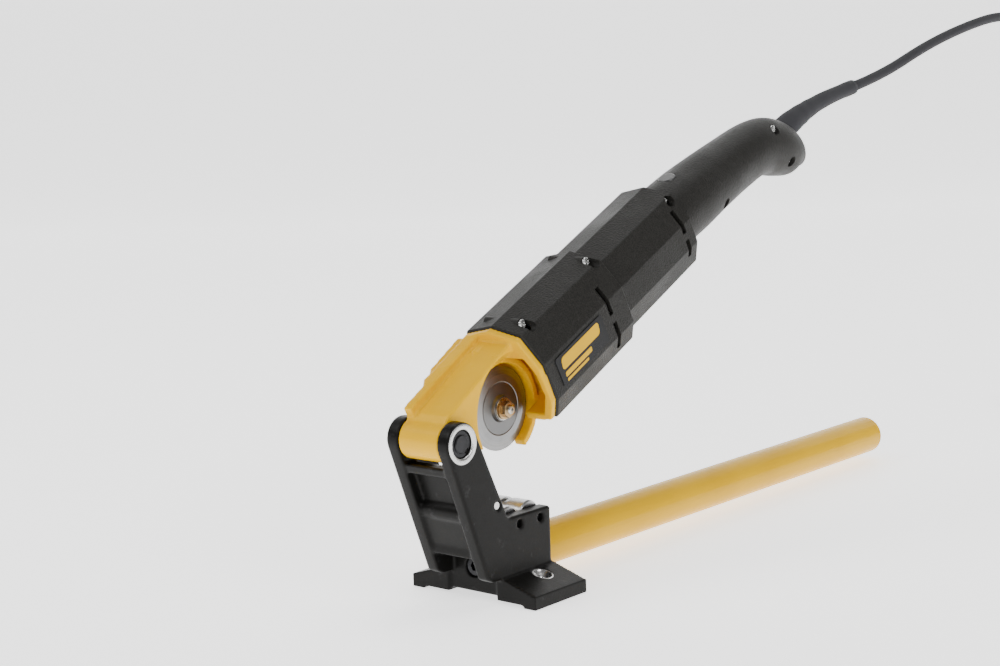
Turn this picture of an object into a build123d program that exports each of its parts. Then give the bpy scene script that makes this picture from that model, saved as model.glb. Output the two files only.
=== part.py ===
from build123d import *
import os
from math import acos, atan2, cos, degrees, hypot, pi, radians, sin, sqrt, tan

# Portable electric pipe cut-off tool: a cast base with rollers and a long tube, and a drive unit
# with a cutter wheel that swings on a hinge pin between the two ears of the base.
# Millimetres. X runs along the pipe, Y backwards along the tube, Z up from the bench.
# The origin is midway between the two bench screw holes, on the bench.
# Drive pieces are drawn with the hinge at the origin and the motor along +Y, then tilted.

os.makedirs("parts", exist_ok=True)

# ---------------------------------------------------------------- driving dimensions
# base casting
base_half_width = 44.0
flange_front_y = -26.0
flange_rear_y = 18.0
flange_edge_thickness = 7.2
flange_root_thickness = 14.0
flange_root_x = 17.0
foot_pad_width = 8.5
foot_pad_height = 1.3
bench_foot_radius = 7.0
bench_screw_spacing = 56.6
bench_screw_hole = 5.5
bench_screw_head = 11.6
ear_gap = 28.4
plate_thickness = 7.8
plate_foot_front_y = -37.3
plate_bottom_z = 13.5
cradle_rear_y = 16.0
cradle_top_z = 46.0
arm_notch_y = -19.5
plate_corner_radius = 1.6
web_setback = 6.0
web_thickness = 3.5
lower_web_setback = 2.0
crossbar_height = 5.0
ledge_z = 31.0
socket_front_y = -24.5
socket_bottom_z = 3.3
socket_bore_front_y = -14.0
socket_rear_bottom_z = 1.6
plate_rim_chamfer = 0.7
ledge_setback = 1.6
crossbar_setback = 0.4
crossbar_under_ear = 1.6
bulge_radius = 6.0
bulge_z = 52.0
bulge_setback = 1.2
countersink_depth = 1.8
bolt_hole_radius = 3.2
bolt_recess_radius = 5.6
bolt_recess_depth = 4.5

# hinge
hinge_y = -54.0
hinge_z = 92.0
ear_radius = 11.5
hinge_pin_radius = 5.0
ear_bore_radius = 7.6
ear_recess_depth = 2.6
drive_tilt = 26.0
barrel_radius = 10.9
barrel_end_clearance = 0.3
bush_wall = 2.0
pin_end_setback = 0.5
pin_chamfer = 0.5
ring_thickness = 1.2
ring_groove_depth = 0.5
ring_play = 0.05
ring_rim_gap = 0.7
ring_opening = 3.2
bush_middle_gap = 1.0

# support tube
tube_radius = 12.5
tube_wall = 1.8
tube_axis_z = 17.1
tube_end_y = 404.0
tube_fit = 0.05
end_cap_plug_length = 12.0
end_cap_dome = 4.0
end_cap_flat = 0.4
tube_front_gap = 0.5
tube_bolt_radius = 3.0
bolt_head_radius = 5.0
bolt_head_height = 3.0
bolt_head_setback = 0.9
bolt_shank_setback = 3.4
bolt_socket_radius = 2.9
plug_nut_length = 10.0

# rollers
roller_radius = 8.5
roller_axle_radius = 2.4
roller_side_clearance = 0.4
roller_running_fit = 0.05
roller_chamfer = 0.8
roller_waist_width = 5.0
roller_waist_depth = 1.2
axle_chamfer = 0.4
axle_end_depths = {"front_roller": 0.8, "middle_roller": 2.8, "rear_roller": 2.8}
roller_places = {
    "front_roller": (-28.0, 54.3),
    "middle_roller": (-10.0, 40.8),
    "rear_roller": (7.5, 40.8),
}

# cutter wheel and spindle, in the drive's own frame
spindle_u = 53.0
spindle_v = -16.7
wheel_radius = 23.4
wheel_thickness = 2.4
wheel_hub_radius = 7.2
wheel_hub_height = 1.6
spindle_radius = 4.5
stud_radius = 2.5
stud_end_x = 9.6
nut_across_flats = 8.0
nut_height = 4.2
nut_flange_radius = 5.9
nut_flange_height = 1.1
pocket_floor_x = -3.2
pocket_radius = 25.2
pocket_wall = 2.6
relief_radius = 26.0
relief_angle = 38.0
relief_depth = 12.0
collar_outer_radius = 28.8
collar_face_x = 4.2
spindle_far_x = -22.0
running_fit = 0.05
wheel_bevel_width = 4.6
wheel_edge_half = 0.15
hub_taper = 0.5
washer_radius = 6.2
washer_thickness = 0.8
spindle_shoulder_gap = 0.4
stud_chamfer = 0.6
stud_centre_radius = 0.9
stud_centre_depth = 1.4
spindle_bush_wall = 2.5

# gear train
gear_module = 0.7
motor_pinion_teeth = 6
first_gear_teeth = 30
first_pinion_teeth = 7
second_gear_teeth = 28
second_pinion_teeth = 7
crown_gear_teeth = 33
mesh_clearance = 0.1
first_stage_u = 94.0
second_stage_u = 87.6
gear_width = 5.5
layshaft_radius = 1.6
crown_far_x = -10.6
crown_thickness = 3.6

# gear housing
housing_front_u = 68.6
gear_flange_thickness = 4.0
gear_body_far_x = -24.0
gear_body_near_x = 13.9
gear_top_front_v = 13.5
gear_top_rear_v = 19.5
gear_bottom_v = -31.0
spine_far_x = -13.9
spine_near_x = -8.5
spine_height = 2.6
spigot_length = 5.0
bay_rear_u = 84.4
bay_wall = 1.8
bay_top_v = 11.5
bay_floor_near_x = 18.5
bay_mouth_v = 8.4
gear_cavity_gap = 1.4
gear_boss_wall = 2.6
gear_flange_step = 0.8
spigot_wall = 3.2
second_pinion_width = 3.4

# motor housing and handle
front_section_end_u = 150.3
rear_section_end_u = 229.0
shell_wall = 2.6
shell_edge_round = 1.8
step_bevel = 3.0
label_u = 100.0
label_length = 46.0
label_height = 17.5
spigot_clearance = 0.35
front_outline = [(0, 26.2), (19.5, 21.7), (28.6, 4.0), (29.4, -19.0), (24.0, -31.5)]
rear_outline = [(0, 22.6), (18.0, 18.5), (26.5, 2.0), (27.0, -14.0), (21.5, -28.0)]
handle_sections = [
    (222.0, -3.6, 20.6, 21.0),
    (256.0, -5.8, 20.6, 21.4),
    (283.0, -7.6, 19.4, 20.2),
    (311.0, -10.3, 18.4, 19.0),
    (336.0, -13.8, 18.0, 18.6),
    (350.0, -19.5, 18.2, 20.8),
    (360.0, -24.4, 18.2, 21.6),
    (369.5, -29.0, 16.8, 19.6),
    (377.5, -33.2, 13.6, 15.0),
    (382.6, -36.4, 8.4, 9.2),
]
handle_stations = 22
handle_hollow_end_u = 375.0
slot_width = 3.4
front_slot_u = 132.0
rear_slot_u = 217.5
screw_radius = 1.5
screw_head_radius = 2.9
screw_head_height = 2.1
screw_channel_radius = 3.3
screw_seat_x = 12.0
screw_boss_radius = 3.1
housing_screw_places = [(79.0, 21.8), (143.0, 21.8)]
rear_screw_place = (222.0, 15.6)
handle_screw_places = [(350.0, -6.5), (356.0, -33.0), (277.0, -18.0)]
button_u = 249.0
button_radius = 5.6
button_travel = 2.5
button_guide_clearance = 0.3
switch_top_v = 4.0
switch_bottom_v = -18.0
switch_middle_u = 256.0
switch_width = 17.0
switch_length = 34.0
button_height = 7.0
button_proud = 0.7
button_round = 1.2
button_stem_radius = 1.6
button_guide_wall = 2.2
spring_radius = 3.2
spring_wire = 0.7
capacitor_place = (284.0, -9.0)
capacitor_size = (16.0, 12.0, 20.0)
terminal_place = (312.0, -12.0)
terminal_size = (18.0, 11.0, 16.0)
terminal_bore_radius = 1.8
terminal_bore_x = 4.5
clamp_place = (363.5, -24.5)
clamp_size = (17.0, 7.0, 4.5)
label_thickness = 0.5
label_corner = 1.5

# motor
motor_axis_v = -3.0
motor_shaft_radius = 3.0
bearing_plate_u = 101.0
bearing_plate_thickness = 4.0
stator_radius = 21.3
stator_bore_radius = 14.6
stator_start_u = 122.0
stator_length = 44.0
air_gap = 0.6
fan_radius = 21.0
commutator_radius = 9.0
brush_length = 9.0
rear_bearing_u = 201.0
ball_bearing_radius = 9.5
ball_bearing_width = 6.0
bearing_seat_wall = 0.9
coil_end_length = 3.5
coil_end_gap = 0.1
winding_depth = 3.0
front_winding_length = 4.9
rear_winding_length = 6.0
commutator_gap = 12.0
commutator_length = 13.0
brush_gap = 0.3
brush_width = 6.4
brush_height = 4.4
holder_slack = 0.2
holder_wall = 1.4
holder_length = 10.5
holder_gap = 2.0
fan_disc_thickness = 1.6
fan_height = 6.0
fan_hub_radius = 6.0
fan_blades = 9
fan_blade_middle = 13.0
fan_blade_length = 14.5
fan_blade_thickness = 1.2

# mains lead
cord_radius = 3.5
boot_route = [(372.0, -21.0), (384.0, -21.4), (397.0, -22.4), (412.0, -24.2), (430.0, -27.6)]
boot_route += [(450.0, -32.6), (470.0, -38.4)]
boot_radii = [7.9, 7.7, 7.2, 6.3, 5.6, 5.2, 4.9]
cord_end_gap = 0.15
boot_run = 42.0
coil_middle_radius = 41.0
coil_half_width = 10.5
coil_height = 18.0
coil_gap = 0.3
coil_round = 3.0
tail_length = 8.0
plug_height = 7.0
plug_sections = [(0.0, 5.2, 5.2), (14.0, 8.6, 6.2), (25.0, 16.6, 6.8), (44.0, 17.4, 6.8)]
plug_pin_radius = 2.4
plug_pin_spacing = 19.0
plug_pin_length = 19.0

# ---------------------------------------------------------------- values worked out from them
plate_inner_x = ear_gap / 2
plate_outer_x = plate_inner_x + plate_thickness
barrel_half = plate_inner_x - barrel_end_clearance
drive_place = Location((0, hinge_y, hinge_z), (drive_tilt, 0, 0))


def pitch_radius(teeth):
    return gear_module * teeth / 2


motor_shaft_place = (0.0, motor_axis_v)
second_shaft_place = (crown_far_x - pitch_radius(second_pinion_teeth) - mesh_clearance, spindle_v)
first_reach = pitch_radius(motor_pinion_teeth) + pitch_radius(first_gear_teeth) + mesh_clearance
second_reach = pitch_radius(first_pinion_teeth) + pitch_radius(second_gear_teeth) + mesh_clearance


def crossing(centre_a, radius_a, centre_b, radius_b):
    """Crossing point of two circles, on the left of the line from a to b."""
    gap_x = centre_b[0] - centre_a[0]
    gap_v = centre_b[1] - centre_a[1]
    gap = hypot(gap_x, gap_v)
    along = (radius_a**2 - radius_b**2 + gap**2) / (2 * gap)
    across = sqrt(radius_a**2 - along**2)
    x = centre_a[0] + (along * gap_x - across * gap_v) / gap
    v = centre_a[1] + (along * gap_v + across * gap_x) / gap
    return (x, v)


first_shaft_place = crossing(second_shaft_place, second_reach, motor_shaft_place, first_reach)


def tangent_point(centre, radius, point, side):
    """Where the line from an outside point touches a circle; side is +1 or -1."""
    distance = hypot(point[0] - centre[0], point[1] - centre[1])
    angle = atan2(point[1] - centre[1], point[0] - centre[0]) + side * acos(radius / distance)
    return (centre[0] + radius * cos(angle), centre[1] + radius * sin(angle))


def across(u):
    """Plane square to the motor axis at distance u from the hinge, facing the handle."""
    return Plane(origin=(0, u, 0), x_dir=(-1, 0, 0), z_dir=(0, 1, 0))


def octagon(outline):
    """Closed outline from its near half, mirrored about the middle plane."""
    near_side = [(-x, v) for x, v in outline]
    far_side = [(x, v) for x, v in reversed(outline) if x > 0]
    return near_side + far_side


def inset(outline, amount):
    """Outline drawn in by a wall, kept on the middle plane where it crosses it."""
    return [(x - amount if x > 0 else 0, v - amount if v > 0 else v + amount) for x, v in outline]


def hand_in(piece, label, place=None):
    """Put a finished piece in its place, label it and write it."""
    if place is not None:
        piece.part = place * piece.part
    piece.part.label = label
    export_step(piece.part, f"parts/{label}.step")


# ---------------------------------------------------------------- base bracket
hinge = (hinge_y, hinge_z)
plate_foot = (plate_foot_front_y, plate_bottom_z + 2)
arm_notch = (arm_notch_y, cradle_top_z)
front_touch = tangent_point(hinge, ear_radius, plate_foot, -1)
rear_touch = tangent_point(hinge, ear_radius, arm_notch, 1)
front_edge_angle = degrees(atan2(front_touch[1] - plate_foot[1], front_touch[0] - plate_foot[0]))


def front_edge(z, setback):
    """Y of a line parallel to the plates' slanted front edge, set back from it."""
    slope = (front_touch[0] - plate_foot[0]) / (front_touch[1] - plate_foot[1])
    return plate_foot[0] + (z - plate_foot[1]) * slope + setback / sin(radians(front_edge_angle))


crossbar_top_z = hinge_z - ear_radius - crossbar_under_ear
crossbar_bottom_z = crossbar_top_z - crossbar_height
flange_profile = [
    (flange_root_x, foot_pad_height),
    (base_half_width - foot_pad_width, foot_pad_height),
    (base_half_width - foot_pad_width, 0),
    (base_half_width, 0),
    (base_half_width, flange_edge_thickness),
    (plate_outer_x, flange_root_thickness),
    (flange_root_x, flange_root_thickness),
]

with BuildPart() as base_bracket:
    for plate_x in (-plate_outer_x, plate_inner_x):
        with BuildSketch(Plane.YZ.offset(plate_x)) as plate_side:
            with BuildLine():
                Polyline(
                    front_touch,
                    plate_foot,
                    (plate_foot_front_y + 3.5, plate_bottom_z),
                    (cradle_rear_y, plate_bottom_z - 2),
                    (cradle_rear_y, cradle_top_z),
                    arm_notch,
                    rear_touch,
                    close=True,
                )
            make_face()
            outer_corners = [
                corner
                for corner in plate_side.vertices()
                if hypot(corner.X - hinge_y, corner.Y - hinge_z) > ear_radius + 1
            ]
            fillet(outer_corners, plate_corner_radius)
            with Locations(hinge):
                Circle(ear_radius)
        extrude(amount=plate_thickness)
    # rounded outer edges of the two plates
    plate_rims = base_bracket.faces().filter_by(Axis.X).sort_by(Axis.X)
    chamfer(plate_rims[0].edges() + plate_rims[-1].edges(), plate_rim_chamfer)
    # flanges with their foot pads
    for side in (1, -1):
        with BuildSketch(Plane.XZ.offset(-flange_rear_y)):
            with BuildLine():
                Polyline([(side * x, z) for x, z in flange_profile], close=True)
            make_face()
        extrude(amount=flange_rear_y - flange_front_y)
    # tube socket between the plates
    with BuildSketch(Plane.YZ.offset(-plate_inner_x - 2)):
        with BuildLine():
            Polyline(
                (socket_front_y, socket_bottom_z),
                (cradle_rear_y, socket_rear_bottom_z),
                (cradle_rear_y, ledge_z + 1),
                (front_edge(ledge_z, web_setback), ledge_z),
                (front_edge(ledge_z, ledge_setback), ledge_z),
                (front_edge(ledge_z, ledge_setback), ledge_z - 4),
                (socket_front_y, ledge_z - 8),
                close=True,
            )
        make_face()
    extrude(amount=2 * plate_inner_x + 4)
    # web under the hinge, with a crossbar and a rounded bulge in front of the first roller
    with BuildSketch(Plane.YZ.offset(-plate_inner_x - 1)):
        with BuildLine():
            Polyline(
                (front_edge(crossbar_top_z, crossbar_setback), crossbar_top_z),
                (front_edge(crossbar_top_z, web_setback + web_thickness), crossbar_top_z),
                (front_edge(ledge_z, web_setback + web_thickness), ledge_z),
                (front_edge(ledge_z, web_setback), ledge_z),
                (front_edge(crossbar_bottom_z, web_setback), crossbar_bottom_z),
                (front_edge(crossbar_bottom_z, crossbar_setback), crossbar_bottom_z),
                close=True,
            )
        make_face()
    extrude(amount=2 * plate_inner_x + 2)
    with BuildSketch(Plane.YZ.offset(-plate_inner_x - 1)):
        with Locations((front_edge(bulge_z, bulge_radius + bulge_setback), bulge_z)):
            Circle(bulge_radius)
    extrude(amount=2 * plate_inner_x + 2)
    with BuildSketch(Plane.YZ.offset(-plate_inner_x - 1)):
        with BuildLine():
            Polyline(
                (front_edge(ledge_z, lower_web_setback), ledge_z),
                (front_edge(bulge_z, lower_web_setback), bulge_z),
                (front_edge(bulge_z, web_setback + 2), bulge_z),
                (front_edge(ledge_z, web_setback + 2), ledge_z),
                close=True,
            )
        make_face()
    extrude(amount=2 * plate_inner_x + 2)
    # round feet under the bench screws
    with BuildSketch(Plane.XY):
        with Locations((bench_screw_spacing / 2, 0), (-bench_screw_spacing / 2, 0)):
            Circle(bench_foot_radius)
    extrude(amount=foot_pad_height + 1)
    # tube bore, open to the rear
    with BuildSketch(Plane.XZ.offset(-cradle_rear_y - 1)):
        with Locations((0, tube_axis_z)):
            Circle(tube_radius + tube_fit)
    extrude(amount=cradle_rear_y + 1 - socket_bore_front_y, mode=Mode.SUBTRACT)
    # recess and hole for the tube bolt in the front of the socket
    with BuildSketch(Plane.XZ.offset(-socket_bore_front_y - 1)):
        with Locations((0, tube_axis_z)):
            Circle(bolt_hole_radius)
    extrude(amount=socket_bore_front_y + 2 - socket_front_y, mode=Mode.SUBTRACT)
    with BuildSketch(Plane.XZ.offset(-socket_front_y - bolt_recess_depth)):
        with Locations((0, tube_axis_z)):
            Circle(bolt_recess_radius)
    extrude(amount=bolt_recess_depth + 1.5, mode=Mode.SUBTRACT)
    # hinge pin holes with a wider recess for the retaining ring in each ear
    with BuildSketch(Plane.YZ.offset(-plate_outer_x - 1)):
        with Locations(hinge):
            Circle(hinge_pin_radius)
    extrude(amount=2 * plate_outer_x + 2, mode=Mode.SUBTRACT)
    for recess_x in (-plate_outer_x - 1, plate_outer_x - ear_recess_depth):
        with BuildSketch(Plane.YZ.offset(recess_x)):
            with Locations(hinge):
                Circle(ear_bore_radius)
        extrude(amount=ear_recess_depth + 1, mode=Mode.SUBTRACT)
    # roller axle holes, with a small chamfer at each outer face
    for axle_place in roller_places.values():
        with BuildSketch(Plane.YZ.offset(-plate_outer_x - 1)):
            with Locations(axle_place):
                Circle(roller_axle_radius)
        extrude(amount=2 * plate_outer_x + 2, mode=Mode.SUBTRACT)
    # bench screw holes
    for side in (1, -1):
        with Locations((side * bench_screw_spacing / 2, 0, flange_root_thickness - countersink_depth)):
            CounterSinkHole(bench_screw_hole / 2, bench_screw_head / 2, counter_sink_angle=90)

# ---------------------------------------------------------------- support tube and its cap
tube_front_y = socket_bore_front_y + tube_front_gap
with BuildPart() as support_tube:
    with BuildSketch(Plane.XZ.offset(-tube_front_y)):
        with Locations((0, tube_axis_z)):
            Circle(tube_radius)
            Circle(tube_radius - tube_wall, mode=Mode.SUBTRACT)
    extrude(amount=-(tube_end_y - end_cap_dome - tube_front_y))

with BuildPart() as tube_end_cap:
    with BuildSketch(Plane.XZ.offset(-(tube_end_y - end_cap_dome - end_cap_plug_length))):
        with Locations((0, tube_axis_z)):
            Circle(tube_radius - tube_wall)
    extrude(amount=-end_cap_plug_length)
    with BuildSketch(Plane.XZ.offset(-(tube_end_y - end_cap_dome))):
        with Locations((0, tube_axis_z)):
            Circle(tube_radius)
    extrude(amount=-end_cap_dome)
    fillet(tube_end_cap.faces().sort_by(Axis.Y)[-1].edges(), end_cap_dome - end_cap_flat)

with BuildPart() as tube_plug_nut:
    with BuildSketch(Plane.XZ.offset(-tube_front_y)):
        with Locations((0, tube_axis_z)):
            Circle(tube_radius - tube_wall)
            Circle(tube_bolt_radius, mode=Mode.SUBTRACT)
    extrude(amount=-plug_nut_length)

with BuildPart() as tube_bolt:
    with BuildSketch(Plane.XZ.offset(-(socket_front_y + bolt_head_setback))):
        with Locations((0, tube_axis_z)):
            Circle(bolt_head_radius)
            RegularPolygon(bolt_socket_radius, 6, mode=Mode.SUBTRACT)
    extrude(amount=-bolt_head_height)
    with BuildSketch(Plane.XZ.offset(-(socket_front_y + bolt_shank_setback))):
        with Locations((0, tube_axis_z)):
            Circle(tube_bolt_radius)
    extrude(amount=-(tube_front_y + plug_nut_length - socket_front_y - bolt_shank_setback))

# ---------------------------------------------------------------- hinge pin and rings
pin_half = plate_outer_x - pin_end_setback
ring_groove_x = plate_outer_x - ear_recess_depth + 2 * ring_play
with BuildPart() as hinge_pin:
    with BuildSketch(Plane.YZ.offset(-pin_half)):
        with Locations(hinge):
            Circle(hinge_pin_radius)
    extrude(amount=2 * pin_half)
    chamfer(hinge_pin.edges().filter_by(GeomType.CIRCLE), pin_chamfer)
    for groove_x in (-ring_groove_x - ring_thickness, ring_groove_x):
        with BuildSketch(Plane.YZ.offset(groove_x)):
            with Locations(hinge):
                Circle(hinge_pin_radius + 1)
                Circle(hinge_pin_radius - ring_groove_depth, mode=Mode.SUBTRACT)
        extrude(amount=ring_thickness, mode=Mode.SUBTRACT)

with BuildPart() as hinge_retaining_rings:
    for ring_x in (-ring_groove_x - ring_thickness + ring_play, ring_groove_x + ring_play):
        with BuildSketch(Plane.YZ.offset(ring_x)):
            with Locations(hinge):
                Circle(ear_bore_radius - ring_rim_gap)
                Circle(hinge_pin_radius - ring_groove_depth + ring_play, mode=Mode.SUBTRACT)
            with Locations((hinge_y + 4.6, hinge_z - 4.6)):
                Rectangle(9, ring_opening, rotation=-45, mode=Mode.SUBTRACT)
        extrude(amount=ring_thickness - 2 * ring_play)

# ---------------------------------------------------------------- rollers and their axles
roller_half = plate_inner_x - roller_side_clearance
axles = {}
rollers = {}
for roller_name, roller_place in roller_places.items():
    axle_half = plate_outer_x - axle_end_depths[roller_name]
    with BuildPart() as axle:
        with BuildSketch(Plane.YZ.offset(-axle_half)):
            with Locations(roller_place):
                Circle(roller_axle_radius)
        extrude(amount=2 * axle_half)
        chamfer(axle.edges().filter_by(GeomType.CIRCLE), axle_chamfer)
    axles[roller_name + "_axle"] = axle
    with BuildPart() as roller:
        with BuildSketch(Plane.YZ.offset(-roller_half)):
            with Locations(roller_place):
                Circle(roller_radius)
        extrude(amount=2 * roller_half)
        chamfer(roller.edges().filter_by(GeomType.CIRCLE), roller_chamfer)
        with BuildSketch(Plane.YZ.offset(-roller_waist_width / 2)):
            with Locations(roller_place):
                Circle(roller_radius + 1)
                Circle(roller_radius - roller_waist_depth, mode=Mode.SUBTRACT)
        extrude(amount=roller_waist_width, mode=Mode.SUBTRACT)
        with BuildSketch(Plane.YZ.offset(-roller_half)):
            with Locations(roller_place):
                Circle(roller_axle_radius + roller_running_fit)
        extrude(amount=2 * roller_half, mode=Mode.SUBTRACT)
    rollers[roller_name] = roller

# ---------------------------------------------------------------- gear housing
spindle = (spindle_u, spindle_v)
crown_radius = pitch_radius(crown_gear_teeth)
gear_cavity_radius = crown_radius + gear_cavity_gap
gear_boss_radius = gear_cavity_radius + gear_boss_wall
flange_start_u = housing_front_u - gear_flange_thickness
bush_outer_radius = hinge_pin_radius + bush_wall
spindle_bush_radius = spindle_radius + spindle_bush_wall
gear_outline = inset(front_outline, gear_flange_step)
spigot_outline = inset(front_outline, shell_wall + spigot_clearance)

with BuildPart(mode=Mode.PRIVATE) as bay_block:
    with BuildSketch(Plane.YZ.offset(pocket_floor_x - pocket_wall)):
        with BuildLine():
            Polyline(
                (housing_front_u, gear_bottom_v - 0.2),
                (bay_rear_u + bay_wall, gear_bottom_v - 0.2),
                (bay_rear_u + bay_wall, bay_top_v + bay_wall),
                (housing_front_u, bay_top_v + bay_wall),
                close=True,
            )
        make_face()
    extrude(amount=60)
    with BuildSketch(across(housing_front_u)):
        Polygon(*octagon(spigot_outline), align=None)
    extrude(amount=40, mode=Mode.INTERSECT)

with BuildPart(mode=Mode.PRIVATE) as bay_room:
    with BuildSketch(across(flange_start_u - 4)):
        Polygon(*octagon(inset(spigot_outline, bay_wall)), align=None)
    extrude(amount=bay_rear_u - flange_start_u + 4)
    with BuildSketch(Plane.YZ.offset(pocket_floor_x)):
        with BuildLine():
            Polyline(
                (spindle_u + 8, gear_bottom_v - 20),
                (bay_rear_u + 1, gear_bottom_v - 20),
                (bay_rear_u + 1, bay_top_v),
                (spindle_u + 8, bay_mouth_v),
                close=True,
            )
        make_face()
    extrude(amount=60, mode=Mode.INTERSECT)

with BuildPart(mode=Mode.PRIVATE) as bay_floor:
    with BuildSketch(across(flange_start_u)):
        with BuildLine():
            Polyline(
                (-(pocket_floor_x - pocket_wall), gear_bottom_v - 0.2),
                (-(pocket_floor_x - pocket_wall), spigot_outline[-1][1] + bay_wall),
                (-bay_floor_near_x, spigot_outline[-1][1] + bay_wall),
                (-bay_floor_near_x, gear_bottom_v - 0.2),
                close=True,
            )
        make_face()
    extrude(amount=bay_rear_u - 2.4 - flange_start_u)

with BuildPart() as gear_housing:
    # side profile, as wide as the body's far side and the barrel
    with BuildSketch(Plane.YZ.offset(gear_body_far_x)) as body_side:
        with BuildLine():
            Polyline(
                (-2.0, barrel_radius - 1.5),
                (5.0, gear_top_front_v),
                (flange_start_u + 1, gear_top_rear_v),
                (flange_start_u + 1, gear_bottom_v),
                (spindle_u - 6, gear_bottom_v),
                (2.0, -barrel_radius + 0.3),
                close=True,
            )
        make_face()
        with Locations(spindle):
            Circle(gear_boss_radius)
        Circle(barrel_radius)
    extrude(amount=gear_body_near_x - gear_body_far_x)
    # plan profile narrows the far side towards the ears and trims the near side
    with BuildSketch(Plane.XY.offset(-60)):
        with BuildLine():
            Polyline(
                (-barrel_half, -20),
                (-barrel_half, 20),
                (gear_body_far_x, 38),
                (gear_body_far_x, housing_front_u),
                (gear_body_near_x, housing_front_u),
                (barrel_half, 33),
                (barrel_half, -20),
                close=True,
            )
        make_face()
    extrude(amount=120, mode=Mode.INTERSECT)
    # spine along the far upper edge
    with BuildSketch(Plane.YZ.offset(spine_far_x - 3)):
        with BuildLine():
            Polyline(
                (2.0, gear_top_front_v - 3),
                (2.0, gear_top_front_v + spine_height + 1.6),
                (6.0, gear_top_front_v + spine_height + 2.4),
                (flange_start_u + 1, gear_top_rear_v + spine_height),
                (flange_start_u + 1, gear_top_rear_v - 3),
                close=True,
            )
        make_face()
    extrude(amount=spine_near_x - spine_far_x + 3)
    with BuildSketch(Plane.XY.offset(gear_top_front_v - 4)):
        with BuildLine():
            Polyline((-40, -5), (-barrel_half, -5), (-barrel_half, 20), (-19, 28), (-40, 28), close=True)
        make_face()
    extrude(amount=20, mode=Mode.SUBTRACT)
    # wheel pocket on the near side, with the collar left standing behind the wheel
    with BuildSketch(Plane.YZ.offset(pocket_floor_x)):
        with Locations(spindle):
            Circle(pocket_radius)
    extrude(amount=40, mode=Mode.SUBTRACT)
    with BuildSketch(Plane.YZ.offset(collar_face_x)):
        with Locations(spindle):
            Circle(relief_radius)
    extrude(amount=relief_depth, taper=-relief_angle, mode=Mode.SUBTRACT)
    with BuildSketch(Plane.YZ.offset(collar_face_x)):
        with BuildLine():
            Polyline(
                (spindle_u - 4, gear_bottom_v - 20),
                (flange_start_u, gear_bottom_v - 20),
                (flange_start_u, 10.0),
                (spindle_u + 7.0, 8.0),
                (spindle_u, -2.0),
                close=True,
            )
        make_face()
    extrude(amount=40, mode=Mode.SUBTRACT)
    # flange against the motor housing and its spigot
    with BuildSketch(across(flange_start_u)) as flange_face:
        Polygon(*octagon(gear_outline), align=None)
        fillet(flange_face.vertices(), shell_edge_round)
    extrude(amount=gear_flange_thickness)
    with BuildSketch(across(housing_front_u)) as spigot_face:
        Polygon(*octagon(spigot_outline), align=None)
        fillet(spigot_face.vertices(), shell_edge_round)
        offset(amount=-spigot_wall, mode=Mode.SUBTRACT)
    extrude(amount=spigot_length)
    # bay behind the wheel: a lining inside the motor housing, open to the front
    add(bay_block.part)
    add(bay_room.part, mode=Mode.SUBTRACT)
    add(bay_floor.part)
    # guard collar round the rear of the wheel
    with BuildSketch(Plane.YZ.offset(pocket_floor_x)) as collar_ring:
        with Locations(spindle):
            Circle(collar_outer_radius)
        with BuildLine():
            Polyline(
                (spindle_u + 4.8, spindle_v),
                (spindle_u + 4.8, spindle_v - 40),
                (spindle_u + 50, spindle_v - 40),
                (spindle_u + 50, spindle_v + 40),
                (spindle_u + 12, spindle_v + 40),
                close=True,
            )
        make_face(mode=Mode.INTERSECT)
        with Locations(spindle):
            Circle(pocket_radius, mode=Mode.SUBTRACT)
    extrude(amount=collar_face_x - pocket_floor_x)
    with BuildSketch(Plane.YZ.offset(pocket_floor_x - pocket_wall)):
        with BuildLine():
            Polyline(
                (spindle_u, gear_bottom_v),
                (spindle_u + 12.5, spindle_v - 25.8),
                (flange_start_u + 1, gear_bottom_v - 4),
                (flange_start_u + 1, gear_top_rear_v),
                (spindle_u, gear_top_rear_v),
                close=True,
            )
        make_face()
    extrude(amount=pocket_wall)
    with BuildSketch(Plane.YZ.offset(pocket_floor_x)):
        with Locations(spindle):
            Circle(pocket_radius)
    extrude(amount=collar_face_x - pocket_floor_x + 2, mode=Mode.SUBTRACT)
    # hinge bore
    with BuildSketch(Plane.YZ.offset(-barrel_half - 1)):
        Circle(bush_outer_radius)
    extrude(amount=2 * barrel_half + 2, mode=Mode.SUBTRACT)
    # room for the crown gear, spindle bearings and the second layshaft
    with BuildSketch(Plane.YZ.offset(second_shaft_place[0] - 3.2)):
        with Locations(spindle):
            Circle(gear_cavity_radius)
    cavity_near_x = pocket_floor_x - pocket_wall
    extrude(amount=cavity_near_x - second_shaft_place[0] + 3.2, mode=Mode.SUBTRACT)
    with BuildSketch(Plane.YZ.offset(gear_body_far_x - 1)):
        with Locations(spindle):
            Circle(spindle_bush_radius)
    extrude(amount=60, mode=Mode.SUBTRACT)
    with BuildSketch(across(spindle_u)):
        with Locations((-second_shaft_place[0], second_shaft_place[1])):
            Circle(pitch_radius(second_pinion_teeth) + 0.9)
    extrude(amount=flange_start_u - spindle_u, mode=Mode.SUBTRACT)
    with BuildSketch(across(flange_start_u - 1)):
        with Locations((-second_shaft_place[0], second_shaft_place[1])):
            Circle(layshaft_radius + running_fit)
    extrude(amount=20, mode=Mode.SUBTRACT)

# ---------------------------------------------------------------- bushes
with BuildPart() as hinge_bushes:
    for bush_x in (-barrel_half, bush_middle_gap):
        with BuildSketch(Plane.YZ.offset(bush_x)):
            Circle(bush_outer_radius)
            Circle(hinge_pin_radius + running_fit, mode=Mode.SUBTRACT)
        extrude(amount=barrel_half - bush_middle_gap)

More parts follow.
